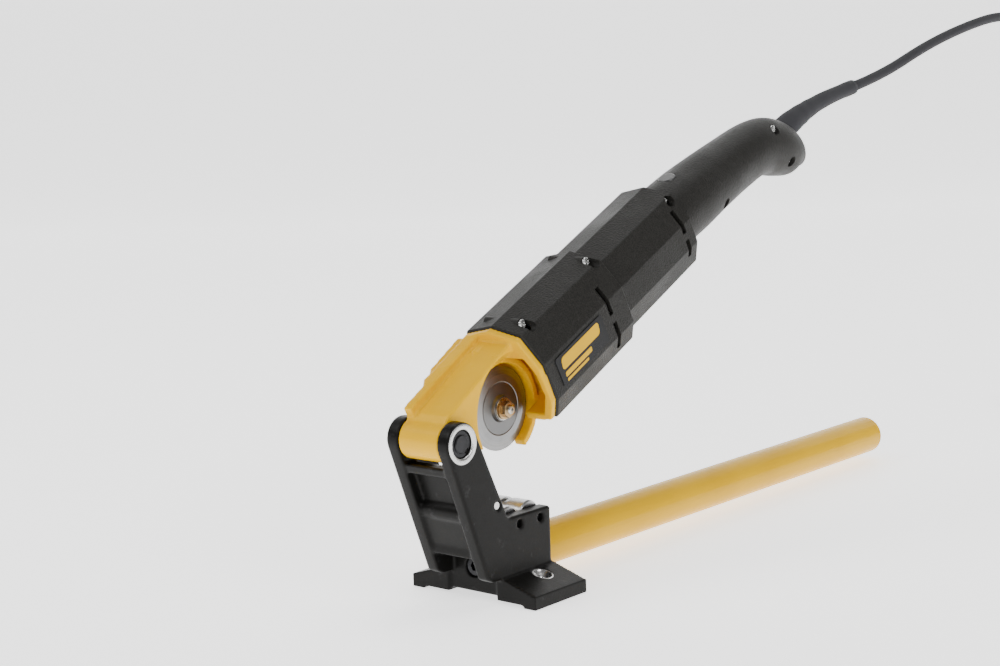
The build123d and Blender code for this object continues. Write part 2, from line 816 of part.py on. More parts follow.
spindle_bushes = {}
bush_spans = {
    "spindle_bush_near": (pocket_floor_x - pocket_wall, pocket_wall),
    "spindle_bush_far": (gear_body_far_x, second_shaft_place[0] - 3.2 - gear_body_far_x),
}
for bush_name, (bush_start_x, bush_length) in bush_spans.items():
    with BuildPart() as spindle_bush:
        with BuildSketch(Plane.YZ.offset(bush_start_x)):
            with Locations(spindle):
                Circle(spindle_bush_radius)
                Circle(spindle_radius + running_fit, mode=Mode.SUBTRACT)
        extrude(amount=bush_length)
    spindle_bushes[bush_name] = spindle_bush

# ---------------------------------------------------------------- spindle, wheel and nut
wheel_far_x = -wheel_thickness / 2
hub_near_x = wheel_thickness / 2 + wheel_hub_height
with BuildPart() as cutter_spindle:
    with BuildSketch(Plane.YZ.offset(spindle_far_x)):
        with Locations(spindle):
            Circle(spindle_radius)
    extrude(amount=wheel_far_x - spindle_shoulder_gap - spindle_far_x)
    with BuildSketch(Plane.YZ.offset(wheel_far_x - spindle_shoulder_gap)):
        with Locations(spindle):
            Circle(stud_radius)
    extrude(amount=stud_end_x - wheel_far_x + spindle_shoulder_gap)
    chamfer(cutter_spindle.faces().sort_by(Axis.X)[-1].edges(), stud_chamfer)
    with BuildSketch(Plane.YZ.offset(stud_end_x - stud_centre_depth)):
        with Locations(spindle):
            Circle(stud_centre_radius)
    extrude(amount=2, mode=Mode.SUBTRACT)

with BuildPart() as cutter_wheel:
    with BuildSketch(Plane.XY.offset(spindle_v)):
        with BuildLine():
            Polyline(
                (wheel_far_x, spindle_u + stud_radius),
                (wheel_far_x, spindle_u + wheel_radius - wheel_bevel_width),
                (-wheel_edge_half, spindle_u + wheel_radius),
                (wheel_edge_half, spindle_u + wheel_radius),
                (-wheel_far_x, spindle_u + wheel_radius - wheel_bevel_width),
                (-wheel_far_x, spindle_u + wheel_hub_radius + hub_taper),
                (hub_near_x, spindle_u + wheel_hub_radius - hub_taper),
                (hub_near_x, spindle_u + stud_radius),
                close=True,
            )
        make_face()
    revolve(axis=Axis((0, spindle_u, spindle_v), (1, 0, 0)))

with BuildPart() as wheel_washer:
    with BuildSketch(Plane.YZ.offset(hub_near_x)):
        with Locations(spindle):
            Circle(washer_radius)
            Circle(stud_radius, mode=Mode.SUBTRACT)
    extrude(amount=washer_thickness)

with BuildPart() as wheel_nut:
    with BuildSketch(Plane.YZ.offset(hub_near_x + washer_thickness)):
        with Locations(spindle):
            Circle(nut_flange_radius)
    extrude(amount=nut_flange_height, taper=12)
    with BuildSketch(Plane.YZ.offset(hub_near_x + washer_thickness)):
        with Locations(spindle):
            RegularPolygon(nut_across_flats / 2, 6, major_radius=False)
    extrude(amount=nut_height)
    with BuildSketch(Plane.YZ.offset(hub_near_x)):
        with Locations(spindle):
            Circle(stud_radius)
    extrude(amount=nut_height + 4, mode=Mode.SUBTRACT)


def toothed_disc(plane, place, teeth, width, bore):
    """Gear whose tooth gaps are cut inwards from its pitch circle, so that meshing pairs stay apart."""
    radius = pitch_radius(teeth)
    depth = min(1.1, 0.28 * radius)
    gap = 0.48 * pi * gear_module
    with BuildPart(mode=Mode.PRIVATE) as gear:
        with BuildSketch(plane):
            with Locations(place):
                Circle(radius)
                with PolarLocations(radius, teeth):
                    Rectangle(2 * depth, gap, mode=Mode.SUBTRACT)
            if bore > 0:
                with Locations(place):
                    Circle(bore, mode=Mode.SUBTRACT)
        extrude(amount=width)
    return gear.part


with BuildPart() as crown_gear:
    crown_face = Plane.YZ.offset(crown_far_x)
    add(toothed_disc(crown_face, spindle, crown_gear_teeth, crown_thickness, spindle_radius))


def on_across(place):
    """A place given as (x, v), written in the coordinates of an across plane."""
    return (-place[0], place[1])


def layshaft(place, wheel_teeth, wheel_u, pinion_teeth, pinion_u, start_u, end_u):
    """Shaft with its gear and its pinion in one turned piece."""
    with BuildPart(mode=Mode.PRIVATE) as shaft:
        with BuildSketch(across(start_u)):
            with Locations(on_across(place)):
                Circle(layshaft_radius)
        extrude(amount=end_u - start_u)
        add(toothed_disc(across(wheel_u), on_across(place), wheel_teeth, gear_width, 0))
        add(toothed_disc(across(pinion_u), on_across(place), pinion_teeth, gear_width, 0))
    return shaft.part


pinion_start_u = spindle_u + crown_radius - 4.8
with BuildPart() as first_gear:
    add(
        layshaft(
            first_shaft_place,
            first_gear_teeth,
            first_stage_u,
            first_pinion_teeth,
            second_stage_u,
            second_stage_u,
            bearing_plate_u + 3,
        )
    )

with BuildPart() as second_gear:
    with BuildSketch(across(pinion_start_u)):
        with Locations(on_across(second_shaft_place)):
            Circle(layshaft_radius)
    extrude(amount=bearing_plate_u + 3 - pinion_start_u)
    second_shaft = on_across(second_shaft_place)
    add(toothed_disc(across(second_stage_u), second_shaft, second_gear_teeth, gear_width, 0))
    add(toothed_disc(across(pinion_start_u), second_shaft, second_pinion_teeth, second_pinion_width, 0))

# ---------------------------------------------------------------- motor
inner_outline = inset(front_outline, shell_wall + spigot_clearance)
with BuildPart() as bearing_plate:
    with BuildSketch(across(bearing_plate_u)) as plate_face:
        Polygon(*octagon(inner_outline), align=None)
        fillet(plate_face.vertices(), 1.5)
        for shaft_place in (first_shaft_place, second_shaft_place):
            with Locations(on_across(shaft_place)):
                Circle(layshaft_radius + running_fit, mode=Mode.SUBTRACT)
    extrude(amount=bearing_plate_thickness)
    with BuildSketch(across(bearing_plate_u)):
        with Locations(on_across(motor_shaft_place)):
            Circle(ball_bearing_radius + bearing_seat_wall)
    extrude(amount=ball_bearing_width)
    with BuildSketch(across(bearing_plate_u - 1)):
        with Locations(on_across(motor_shaft_place)):
            Circle(ball_bearing_radius)
    extrude(amount=ball_bearing_width + 2, mode=Mode.SUBTRACT)

with BuildPart() as rear_bearing_frame:
    with BuildSketch(across(rear_bearing_u)):
        with Locations(on_across(motor_shaft_place)):
            Circle(stator_radius - 0.6)
            Circle(ball_bearing_radius - 1, mode=Mode.SUBTRACT)
    extrude(amount=ball_bearing_width)

bearings = {}
bearing_places = {
    "motor_bearing_front": (bearing_plate_u, ball_bearing_radius),
    "motor_bearing_rear": (rear_bearing_u, ball_bearing_radius - 1),
}
for bearing_name, (bearing_u, outer_radius) in bearing_places.items():
    with BuildPart() as bearing:
        with BuildSketch(across(bearing_u)):
            with Locations(on_across(motor_shaft_place)):
                Circle(outer_radius)
                Circle(motor_shaft_radius + running_fit, mode=Mode.SUBTRACT)
        extrude(amount=ball_bearing_width)
    bearings[bearing_name] = bearing

stator_end_u = stator_start_u + stator_length
with BuildPart() as stator_core:
    with BuildSketch(across(stator_start_u)):
        with Locations(on_across(motor_shaft_place)):
            Circle(stator_radius)
            Circle(stator_bore_radius, mode=Mode.SUBTRACT)
    extrude(amount=stator_length)

with BuildPart() as stator_coils:
    for coil_u in (stator_start_u - coil_end_length - coil_end_gap, stator_end_u + coil_end_gap):
        with BuildSketch(across(coil_u)):
            with Locations(on_across(motor_shaft_place)):
                Circle(stator_radius - 0.8)
                Circle(stator_bore_radius + 0.6, mode=Mode.SUBTRACT)
        extrude(amount=coil_end_length)

with BuildPart() as rotor_shaft:
    with BuildSketch(across(first_stage_u + gear_width)):
        with Locations(on_across(motor_shaft_place)):
            Circle(motor_shaft_radius)
    extrude(amount=rear_bearing_u + ball_bearing_width + 2 - first_stage_u - gear_width)
    chamfer(rotor_shaft.faces().sort_by(Axis.Y)[-1].edges(), 0.5)


def on_rotor(start_u, length, outer, bore):
    """Ring on the rotor shaft."""
    with BuildPart(mode=Mode.PRIVATE) as ring:
        with BuildSketch(across(start_u)):
            with Locations(on_across(motor_shaft_place)):
                Circle(outer)
                Circle(bore, mode=Mode.SUBTRACT)
        extrude(amount=length)
    return ring.part


armature_start_u = stator_start_u + 1
armature_length = stator_length - 2
winding_radius = stator_bore_radius - winding_depth
front_winding_u = armature_start_u - 0.1 - front_winding_length
rear_winding_u = armature_start_u + armature_length + 0.1
with BuildPart() as armature_core:
    add(on_rotor(armature_start_u, armature_length, stator_bore_radius - air_gap, motor_shaft_radius))
with BuildPart() as armature_windings:
    add(on_rotor(front_winding_u, front_winding_length, winding_radius, motor_shaft_radius))
    add(on_rotor(rear_winding_u, rear_winding_length, winding_radius, motor_shaft_radius))
commutator_start_u = stator_end_u + commutator_gap
with BuildPart() as commutator:
    add(on_rotor(commutator_start_u, commutator_length, commutator_radius, motor_shaft_radius))

fan_start_u = bearing_plate_u + ball_bearing_width + 1.5
with BuildPart() as cooling_fan:
    add(on_rotor(fan_start_u, fan_disc_thickness, fan_radius, motor_shaft_radius))
    add(on_rotor(fan_start_u, fan_height, fan_hub_radius, motor_shaft_radius))
    with BuildSketch(across(fan_start_u + 1)):
        with Locations(on_across(motor_shaft_place)):
            with PolarLocations(fan_blade_middle, fan_blades):
                Rectangle(fan_blade_length, fan_blade_thickness)
    extrude(amount=fan_height - 1.4)

with BuildPart() as motor_pinion:
    add(toothed_disc(across(first_stage_u), on_across(motor_shaft_place), motor_pinion_teeth, gear_width, 0))

brush_u = commutator_start_u + commutator_length / 2
with BuildPart() as carbon_brushes:
    for side in (1, -1):
        with BuildSketch(Plane.YZ.offset(side * (commutator_radius + brush_gap))):
            with Locations((brush_u, motor_axis_v)):
                Rectangle(brush_width, brush_height)
        extrude(amount=side * brush_length)

holder_hole_width = brush_width + holder_slack
holder_hole_height = brush_height + holder_slack
with BuildPart() as brush_holders:
    for holder_x in (commutator_radius + holder_gap, -commutator_radius - holder_gap - holder_length):
        with BuildSketch(Plane.YZ.offset(holder_x)):
            with Locations((brush_u, motor_axis_v)):
                Rectangle(holder_hole_width + 2 * holder_wall, holder_hole_height + 2 * holder_wall)
                Rectangle(holder_hole_width, holder_hole_height, mode=Mode.SUBTRACT)
        extrude(amount=holder_length)

# ---------------------------------------------------------------- housing shells
def section_with_bevel(outline, start_u, end_u):
    """Octagonal block whose rear end steps in by a bevel."""
    with BuildPart(mode=Mode.PRIVATE) as block:
        with BuildSketch(across(start_u)) as block_face:
            Polygon(*octagon(outline), align=None)
            fillet(block_face.vertices(), shell_edge_round)
        extrude(amount=end_u - step_bevel - start_u)
        for bevel_u, drawn_in in ((end_u - step_bevel, 0), (end_u, step_bevel * 0.8)):
            with BuildSketch(across(bevel_u)) as bevel_face:
                Polygon(*octagon(inset(outline, drawn_in)), align=None)
                fillet(bevel_face.vertices(), shell_edge_round)
        loft()
    return block.part


with BuildPart() as front_section:
    add(section_with_bevel(front_outline, housing_front_u, front_section_end_u))
    chamfer(front_section.faces().sort_by(Axis.Y)[0].edges(), 1.0)

with BuildPart() as rear_section:
    add(section_with_bevel(rear_outline, front_section_end_u - 2, rear_section_end_u))

def handle_slope(index, column):
    """Slope of one column of the handle's sections at a section, taken from its neighbours."""
    before = handle_sections[max(index - 1, 0)]
    after = handle_sections[min(index + 1, len(handle_sections) - 1)]
    return (after[column] - before[column]) / (after[0] - before[0])


def along_handle(u):
    """Middle height, half width and half height of the handle at u, smoothed between its sections."""
    index = max(i for i in range(len(handle_sections) - 1) if handle_sections[i][0] <= u)
    before, after = handle_sections[index], handle_sections[index + 1]
    span = after[0] - before[0]
    share = (u - before[0]) / span
    ease = 3 * share**2 - 2 * share**3
    values = []
    for column in (1, 2, 3):
        leaving = (share**3 - 2 * share**2 + share) * span * handle_slope(index, column)
        arriving = (share**3 - share**2) * span * handle_slope(index + 1, column)
        values.append((1 - ease) * before[column] + ease * after[column] + leaving + arriving)
    return values


def handle_form(end_u, wall):
    """Rounded body of the handle from its front to end_u, drawn in by a wall."""
    start_u = handle_sections[0][0]
    with BuildPart(mode=Mode.PRIVATE) as form:
        for station in range(handle_stations + 1):
            station_u = start_u + (end_u - start_u) * station / handle_stations
            middle_v, half_width, half_height = along_handle(station_u)
            with BuildSketch(across(station_u)):
                with Locations((0, middle_v)):
                    Ellipse(half_width - wall, half_height - wall)
        loft()
    return form.part


with BuildPart() as handle_body:
    add(handle_form(handle_sections[-1][0], 0))

with BuildPart() as hollow:
    with BuildSketch(across(housing_front_u - 1)) as front_hollow:
        Polygon(*octagon(inset(front_outline, shell_wall)), align=None)
    extrude(amount=front_section_end_u - 5 - housing_front_u)
    with BuildSketch(across(front_section_end_u - 7)):
        Polygon(*octagon(inset(rear_outline, shell_wall)), align=None)
    extrude(amount=rear_section_end_u - 4 - front_section_end_u + 7)
    with BuildSketch(across(rear_section_end_u - 8)):
        with Locations((0, handle_sections[0][1])):
            Circle(handle_sections[0][2] - shell_wall)
    extrude(amount=12)

with BuildPart() as handle_hollow:
    add(handle_form(handle_hollow_end_u, shell_wall))

screws = [(u, v, screw_seat_x) for u, v in housing_screw_places]
screws += [(rear_screw_place[0], rear_screw_place[1], screw_seat_x + 2)]
screws += [(u, v, screw_seat_x - 1) for u, v in handle_screw_places]


def cross_cylinders(places, radius, start_x, end_x):
    """Cylinders along X at each (u, v) place."""
    with BuildPart(mode=Mode.PRIVATE) as bars:
        for u, v, *rest in places:
            seat = rest[0] if rest else 0
            with BuildSketch(Plane.YZ.offset(start_x(seat))):
                with Locations((u, v)):
                    Circle(radius)
            extrude(amount=end_x(seat) - start_x(seat))
    return bars.part


slot_spans = [
    (front_slot_u, -5.0, 12.5),
    (front_slot_u, -27.0, -10.0),
    (rear_slot_u, -3.5, 11.5),
    (rear_slot_u, -19.0, -8.0),
]

with BuildPart() as housing_blank:
    add(front_section.part)
    add(rear_section.part)
    add(handle_body.part)
    add(hollow.part, mode=Mode.SUBTRACT)
    add(handle_hollow.part, mode=Mode.SUBTRACT)
    # bosses for the cross screws
    add(cross_cylinders(screws, screw_boss_radius, lambda seat: -seat, lambda seat: seat))
    screw_holes = cross_cylinders(screws, screw_radius, lambda seat: -seat + 2, lambda seat: 60)
    screw_channels = cross_cylinders(screws, screw_channel_radius, lambda seat: seat, lambda seat: 60)
    add(screw_holes, mode=Mode.SUBTRACT)
    add(screw_channels, mode=Mode.SUBTRACT)
    # cooling slots on both sides
    for slot_u, low_v, high_v in slot_spans:
        with BuildSketch(Plane.YZ.offset(-40)):
            with Locations((slot_u, (low_v + high_v) / 2)):
                Rectangle(slot_width, high_v - low_v)
        extrude(amount=22, mode=Mode.SUBTRACT)
        with BuildSketch(Plane.YZ.offset(18)):
            with Locations((slot_u, (low_v + high_v) / 2)):
                Rectangle(slot_width, high_v - low_v)
        extrude(amount=22, mode=Mode.SUBTRACT)
    # guide for the safety button
    with BuildSketch(Plane.XY.offset(6)):
        with Locations((0, button_u)):
            Circle(button_radius + button_guide_wall)
    extrude(amount=8)
    with BuildSketch(Plane.XY.offset(2)):
        with Locations((0, button_u)):
            Circle(button_radius + button_guide_clearance)
    extrude(amount=30, mode=Mode.SUBTRACT)

# ---------------------------------------------------------------- cord boot
boot_points = [Vector(0, u, v) for u, v in boot_route]


def boot_direction(index):
    before = boot_points[max(index - 1, 0)]
    after = boot_points[min(index + 1, len(boot_points) - 1)]
    return (after - before).normalized()


with BuildPart() as cord_boot:
    for index, boot_point in enumerate(boot_points):
        with BuildSketch(Plane(origin=boot_point, x_dir=(1, 0, 0), z_dir=boot_direction(index))):
            Circle(boot_radii[index])
    loft()

with BuildPart() as boot_hole:
    with BuildSketch(Plane(origin=boot_points[0] - Vector(0, 6, 0), x_dir=(1, 0, 0), z_dir=(0, 1, 0))):
        Circle(boot_radii[0])
    extrude(amount=6.1)
    add(cord_boot.part)

with BuildPart() as front_notch:
    with BuildSketch(across(housing_front_u - 1)):
        with BuildLine():
            Polyline(
                (-(pocket_floor_x - pocket_wall - spigot_clearance), gear_bottom_v - 20),
                (-(pocket_floor_x - pocket_wall - spigot_clearance), spigot_outline[-1][1]),
                (-bay_floor_near_x - spigot_clearance, spigot_outline[-1][1]),
                (-bay_floor_near_x - spigot_clearance, gear_bottom_v - 20),
                close=True,
            )
        make_face()
    extrude(amount=bay_rear_u - 2 - housing_front_u + 1)

shells = {}
for shell_name, kept_side in (("housing_shell_near", Keep.TOP), ("housing_shell_far", Keep.BOTTOM)):
    with BuildPart() as shell:
        add(housing_blank.part)
        add(boot_hole.part, mode=Mode.SUBTRACT)
        add(front_notch.part, mode=Mode.SUBTRACT)
        split(bisect_by=Plane.YZ, keep=kept_side)
    shells[shell_name] = shell

with BuildPart() as housing_screws:
    for u, v, seat in screws:
        with BuildSketch(Plane.YZ.offset(seat + 0.05)):
            with Locations((u, v)):
                Circle(screw_head_radius)
        extrude(amount=screw_head_height, taper=14)
        with BuildSketch(Plane.YZ.offset(-seat + 3)):
            with Locations((u, v)):
                Circle(screw_radius - 0.02)
        extrude(amount=2 * seat - 2.9)

# ---------------------------------------------------------------- label panel
flat_top, flat_bottom = front_outline[2], front_outline[3]
flat_normal = Vector(flat_top[1] - flat_bottom[1], 0, flat_bottom[0] - flat_top[0]).normalized()
flat_middle = Vector((flat_top[0] + flat_bottom[0]) / 2, label_u, (flat_top[1] + flat_bottom[1]) / 2)
label_plane = Plane(origin=flat_middle + flat_normal * 0.02, x_dir=(0, 1, 0), z_dir=flat_normal)
with BuildPart() as label_panel:
    with BuildSketch(label_plane) as label_face:
        Rectangle(label_length, label_height)
        fillet(label_face.vertices(), label_corner)
    extrude(amount=label_thickness)

# ---------------------------------------------------------------- switch, button and electrics
button_top_v = handle_sections[1][1] + handle_sections[1][3] + button_proud
with BuildPart() as safety_button:
    with BuildSketch(Plane.XY.offset(button_top_v - button_height)):
        with Locations((0, button_u)):
            Circle(button_radius)
    extrude(amount=button_height)
    fillet(safety_button.faces().sort_by(Axis.Z)[-1].edges(), button_round)
    with BuildSketch(Plane.XY.offset(button_top_v - button_height)):
        with Locations((0, button_u)):
            Circle(button_stem_radius)
    extrude(amount=-button_stem_radius)

with BuildPart() as switch_body:
    with BuildSketch(Plane.XY.offset(switch_bottom_v)):
        with Locations((0, switch_middle_u)):
            Rectangle(switch_width, switch_length)
    extrude(amount=switch_top_v - switch_bottom_v)
    fillet(switch_body.edges().filter_by(Axis.Z), 1.5)
    with BuildSketch(Plane.XY.offset(switch_top_v - 3.2)):
        with Locations((0, button_u)):
            Circle(2.0)
    extrude(amount=4, mode=Mode.SUBTRACT)

with BuildPart() as switch_spring:
    with BuildSketch(Plane.XY.offset(switch_top_v + 0.1)):
        with Locations((0, button_u)):
            Circle(spring_radius)
            Circle(spring_radius - spring_wire, mode=Mode.SUBTRACT)
    extrude(amount=button_top_v - button_height - button_travel - switch_top_v - 0.3)

with BuildPart() as interference_capacitor:
    with BuildSketch(across(capacitor_place[0])) as capacitor_end:
        with Locations((0, capacitor_place[1])):
            Rectangle(capacitor_size[0], capacitor_size[1])
        fillet(capacitor_end.vertices(), 2)
    extrude(amount=capacitor_size[2])

with BuildPart() as terminal_block:
    with BuildSketch(across(terminal_place[0])):
        with Locations((0, terminal_place[1])):
            Rectangle(terminal_size[0], terminal_size[1])
    extrude(amount=terminal_size[2])
    for terminal_x in (-terminal_bore_x, terminal_bore_x):
        with BuildSketch(across(terminal_place[0] - 1)):
            with Locations((terminal_x, terminal_place[1])):
                Circle(terminal_bore_radius)
        extrude(amount=terminal_size[2] + 4, mode=Mode.SUBTRACT)

with BuildPart() as cord_clamp:
    with BuildSketch(Plane.YZ.offset(-clamp_size[0] / 2)):
        with Locations(clamp_place):
            Rectangle(clamp_size[1], clamp_size[2])
    extrude(amount=clamp_size[0])

# ---------------------------------------------------------------- mains lead
boot_end = drive_place * Pos(boot_points[-1])
boot_aim = (drive_place * Plane(origin=boot_points[-1], x_dir=(1, 0, 0), z_dir=boot_direction(6))).z_dir
cord_start = boot_end.position + boot_aim * cord_end_gap
cord_route = [
    (0, 494, 291.0),
    (0.3, 556, 304.5),
    (0, 614, 313.0),
    (-1, 664, 310.0),
    (-2.5, 706, 288.0),
    (-4.5, 733, 250.0),
    (-6.5, 744, 200.0),
    (-8.5, 747, 148.0),
    (-10, 746, 98.0),
    (-11, 740, 52.0),
    (-11.4, 722, 18.0),
    (-11.5, 694, 4.2),
    (-11.6, 656, 3.5),
]
cord_points = [cord_start, cord_start + boot_aim * boot_run]
cord_points += [Vector(*point) for point in cord_route]


def corner_radii(points):
    """Largest even arcs: 0.45 of the shorter run over the tangent of half the turn."""
    radii = []
    for before, corner, after in zip(points, points[1:], points[2:]):
        run_in = corner - before
        run_out = after - corner
        turn = radians(run_in.get_angle(run_out))
        radii.append(0.45 * min(run_in.length, run_out.length) / tan(turn / 2))
    return radii


cord_radii = corner_radii(cord_points)
with BuildPart() as mains_cord:
    with BuildLine() as cord_path:
        cord_line = FilletPolyline(*cord_points, radius=cord_radii)
    with BuildSketch(Plane(origin=cord_line @ 0, z_dir=cord_line % 0)):
        Circle(cord_radius)
    sweep()

cord_volume = pi * cord_radius**2 * cord_line.length
print("cord length", round(cord_line.length, 1))
print("cord volume over section times length", round(mains_cord.part.volume / cord_volume, 4))

coil_outer_radius = coil_middle_radius + coil_half_width
coil_heading = (cord_points[-1] - cord_points[-2]).normalized()
coil_side = Vector(-coil_heading.Y, coil_heading.X, 0).normalized()
coil_centre = cord_points[-1] + coil_side * (coil_outer_radius + cord_radius + coil_gap)
with BuildPart() as cord_coil:
    with BuildSketch(Plane.XY):
        with Locations((coil_centre.X, coil_centre.Y)):
            Circle(coil_outer_radius)
            Circle(coil_middle_radius - coil_half_width, mode=Mode.SUBTRACT)
    extrude(amount=coil_height)
    fillet(cord_coil.edges().filter_by(GeomType.CIRCLE), coil_round)

tail_x = coil_centre.X + coil_outer_radius - cord_radius
tail_start = sqrt((coil_outer_radius + coil_gap) ** 2 - (tail_x - coil_centre.X - cord_radius) ** 2)
plug_start = tail_start + tail_length


def tail_plane(distance):
    """Plane square to the straight tail, at a distance past the coil's middle."""
    origin = (tail_x, coil_centre.Y + distance, plug_height)
    return Plane(origin=origin, x_dir=(-1, 0, 0), z_dir=(0, 1, 0))


with BuildPart() as cord_tail:
    with BuildSketch(tail_plane(tail_start)):
        Circle(cord_radius)
    extrude(amount=plug_start - tail_start)

with BuildPart() as plug_body:
    for distance, half_width, half_height in plug_sections:
        with BuildSketch(tail_plane(plug_start + distance)):
            Ellipse(half_width, half_height)
    loft()

plug_face = plug_start + plug_sections[-1][0]
with BuildPart() as plug_pins:
    with BuildSketch(tail_plane(plug_face)):
        with GridLocations(plug_pin_spacing, 1, 2, 1):
            Circle(plug_pin_radius)
    extrude(amount=plug_pin_length)
    fillet(plug_pins.faces().sort_by(Axis.Y)[-2:].edges(), 1.0)

# ---------------------------------------------------------------- write the pieces
base_pieces = {
    "base_bracket": base_bracket,
    "support_tube": support_tube,
    "tube_end_cap": tube_end_cap,
    "tube_plug_nut": tube_plug_nut,
    "tube_bolt": tube_bolt,
    "hinge_pin": hinge_pin,
    "hinge_retaining_rings": hinge_retaining_rings,
    "mains_cord": mains_cord,
    "cord_coil": cord_coil,
    "cord_tail": cord_tail,
    "plug_body": plug_body,
    "plug_pins": plug_pins,
}
drive_pieces = {
    "gear_housing": gear_housing,
    "hinge_bushes": hinge_bushes,
    "cutter_spindle": cutter_spindle,
    "cutter_wheel": cutter_wheel,
    "wheel_washer": wheel_washer,
    "wheel_nut": wheel_nut,
    "crown_gear": crown_gear,
    "first_gear": first_gear,
    "second_gear": second_gear,
    "bearing_plate": bearing_plate,
    "rear_bearing_frame": rear_bearing_frame,
    "stator_core": stator_core,
    "stator_coils": stator_coils,
    "rotor_shaft": rotor_shaft,
    "armature_core": armature_core,
    "armature_windings": armature_windings,
    "commutator": commutator,
    "cooling_fan": cooling_fan,
    "motor_pinion": motor_pinion,
    "carbon_brushes": carbon_brushes,
    "brush_holders": brush_holders,
    "housing_screws": housing_screws,
    "label_panel": label_panel,
    "safety_button": safety_button,
    "switch_body": switch_body,
    "switch_spring": switch_spring,
    "interference_capacitor": interference_capacitor,
    "terminal_block": terminal_block,
    "cord_clamp": cord_clamp,
    "cord_boot": cord_boot,
}
drive_pieces.update(spindle_bushes)
drive_pieces.update(bearings)
drive_pieces.update(shells)
base_pieces.update(axles)
base_pieces.update(rollers)
for piece_name, piece in base_pieces.items():
    hand_in(piece, piece_name)
for piece_name, piece in drive_pieces.items():
    hand_in(piece, piece_name, drive_place)
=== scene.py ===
import logging
from dataclasses import dataclass
from enum import Enum
from math import cos, hypot, pi, radians, sin
from typing import Sequence

import bmesh
import bpy
from mathutils import Matrix, Vector


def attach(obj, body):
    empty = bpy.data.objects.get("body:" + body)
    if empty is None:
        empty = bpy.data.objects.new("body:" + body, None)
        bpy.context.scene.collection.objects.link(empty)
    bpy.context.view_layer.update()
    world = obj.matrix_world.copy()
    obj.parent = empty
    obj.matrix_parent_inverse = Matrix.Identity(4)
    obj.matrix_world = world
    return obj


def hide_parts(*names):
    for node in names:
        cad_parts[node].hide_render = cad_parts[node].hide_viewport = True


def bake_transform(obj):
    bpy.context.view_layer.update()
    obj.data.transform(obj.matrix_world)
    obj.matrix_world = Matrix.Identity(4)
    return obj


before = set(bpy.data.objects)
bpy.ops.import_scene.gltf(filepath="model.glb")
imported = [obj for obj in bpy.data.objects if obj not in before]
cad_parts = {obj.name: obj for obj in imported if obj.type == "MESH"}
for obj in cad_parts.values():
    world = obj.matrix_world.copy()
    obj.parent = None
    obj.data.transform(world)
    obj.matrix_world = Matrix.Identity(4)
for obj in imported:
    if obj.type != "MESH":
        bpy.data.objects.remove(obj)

LOG = logging.getLogger("scene")
MM = 0.001
HINGE = Vector((0.0, -54.0, 92.0)) * MM
DRIVE_TILT = radians(26.0)
Colour = tuple[float, float, float]
Point = tuple[float, float, float]


def drive_point(x: float, u: float, v: float) -> Vector:
    """Place of a point given in the drive unit's own axes.

    Args:
        x: Distance to the near side, in millimetres.
        u: Distance from the hinge along the motor axis, in millimetres.
        v: Distance above the motor axis line through the hinge, in millimetres.

    Returns:
        The point in the row frame, in metres.
    """
    turned = Matrix.Rotation(DRIVE_TILT, 3, "X") @ Vector((x, u, v))
    return HINGE + turned * MM


def scaled(colour: Colour, factor: float) -> Colour:
    """Returns a colour made lighter or darker by a factor."""
    return tuple(factor * part for part in colour)


# ------------------------------------------------------------------ shader building


class Value:
    """A shader value that adds Math nodes when it is used in arithmetic."""

    def __init__(self, graph: "Graph", socket: bpy.types.NodeSocket) -> None:
        self.graph = graph
        self.socket = socket

    @staticmethod
    def combine(graph: "Graph", operation: str, *terms: "Value | float") -> "Value":
        """Joins terms with one Math node.

        Args:
            graph: The graph that gets the node.
            operation: Name of the Math node's operation.
            terms: Values or plain numbers, in order.

        Returns:
            The node's result.
        """
        node = graph.tree.nodes.new("ShaderNodeMath")
        node.operation = operation
        for slot, term in zip(node.inputs, terms):
            graph.feed(slot, term)
        return Value(graph, node.outputs[0])

    def __add__(self, other: "Value | float") -> "Value":
        return Value.combine(self.graph, "ADD", self, other)

    def __radd__(self, other: float) -> "Value":
        return Value.combine(self.graph, "ADD", other, self)

    def __sub__(self, other: "Value | float") -> "Value":
        return Value.combine(self.graph, "SUBTRACT", self, other)

    def __rsub__(self, other: float) -> "Value":
        return Value.combine(self.graph, "SUBTRACT", other, self)

    def __mul__(self, other: "Value | float") -> "Value":
        return Value.combine(self.graph, "MULTIPLY", self, other)

    def __rmul__(self, other: float) -> "Value":
        return Value.combine(self.graph, "MULTIPLY", other, self)

    def sine(self) -> "Value":
        """Returns the sine of this value."""
        return Value.combine(self.graph, "SINE", self)

    def size(self) -> "Value":
        """Returns this value without its sign."""
        return Value.combine(self.graph, "ABSOLUTE", self)

    def power(self, exponent: float) -> "Value":
        """Returns this value raised to a power."""
        return Value.combine(self.graph, "POWER", self, exponent)

    def above(self, level: float, width: float) -> "Value":
        """Returns 0 below a level and 1 above it, with a soft step of the given width."""
        return self.graph.span(self, level - width / 2, level + width / 2, 0.0, 1.0)

    def below(self, level: float, width: float) -> "Value":
        """Returns 1 below a level and 0 above it, with a soft step of the given width."""
        return self.graph.span(self, level - width / 2, level + width / 2, 1.0, 0.0)


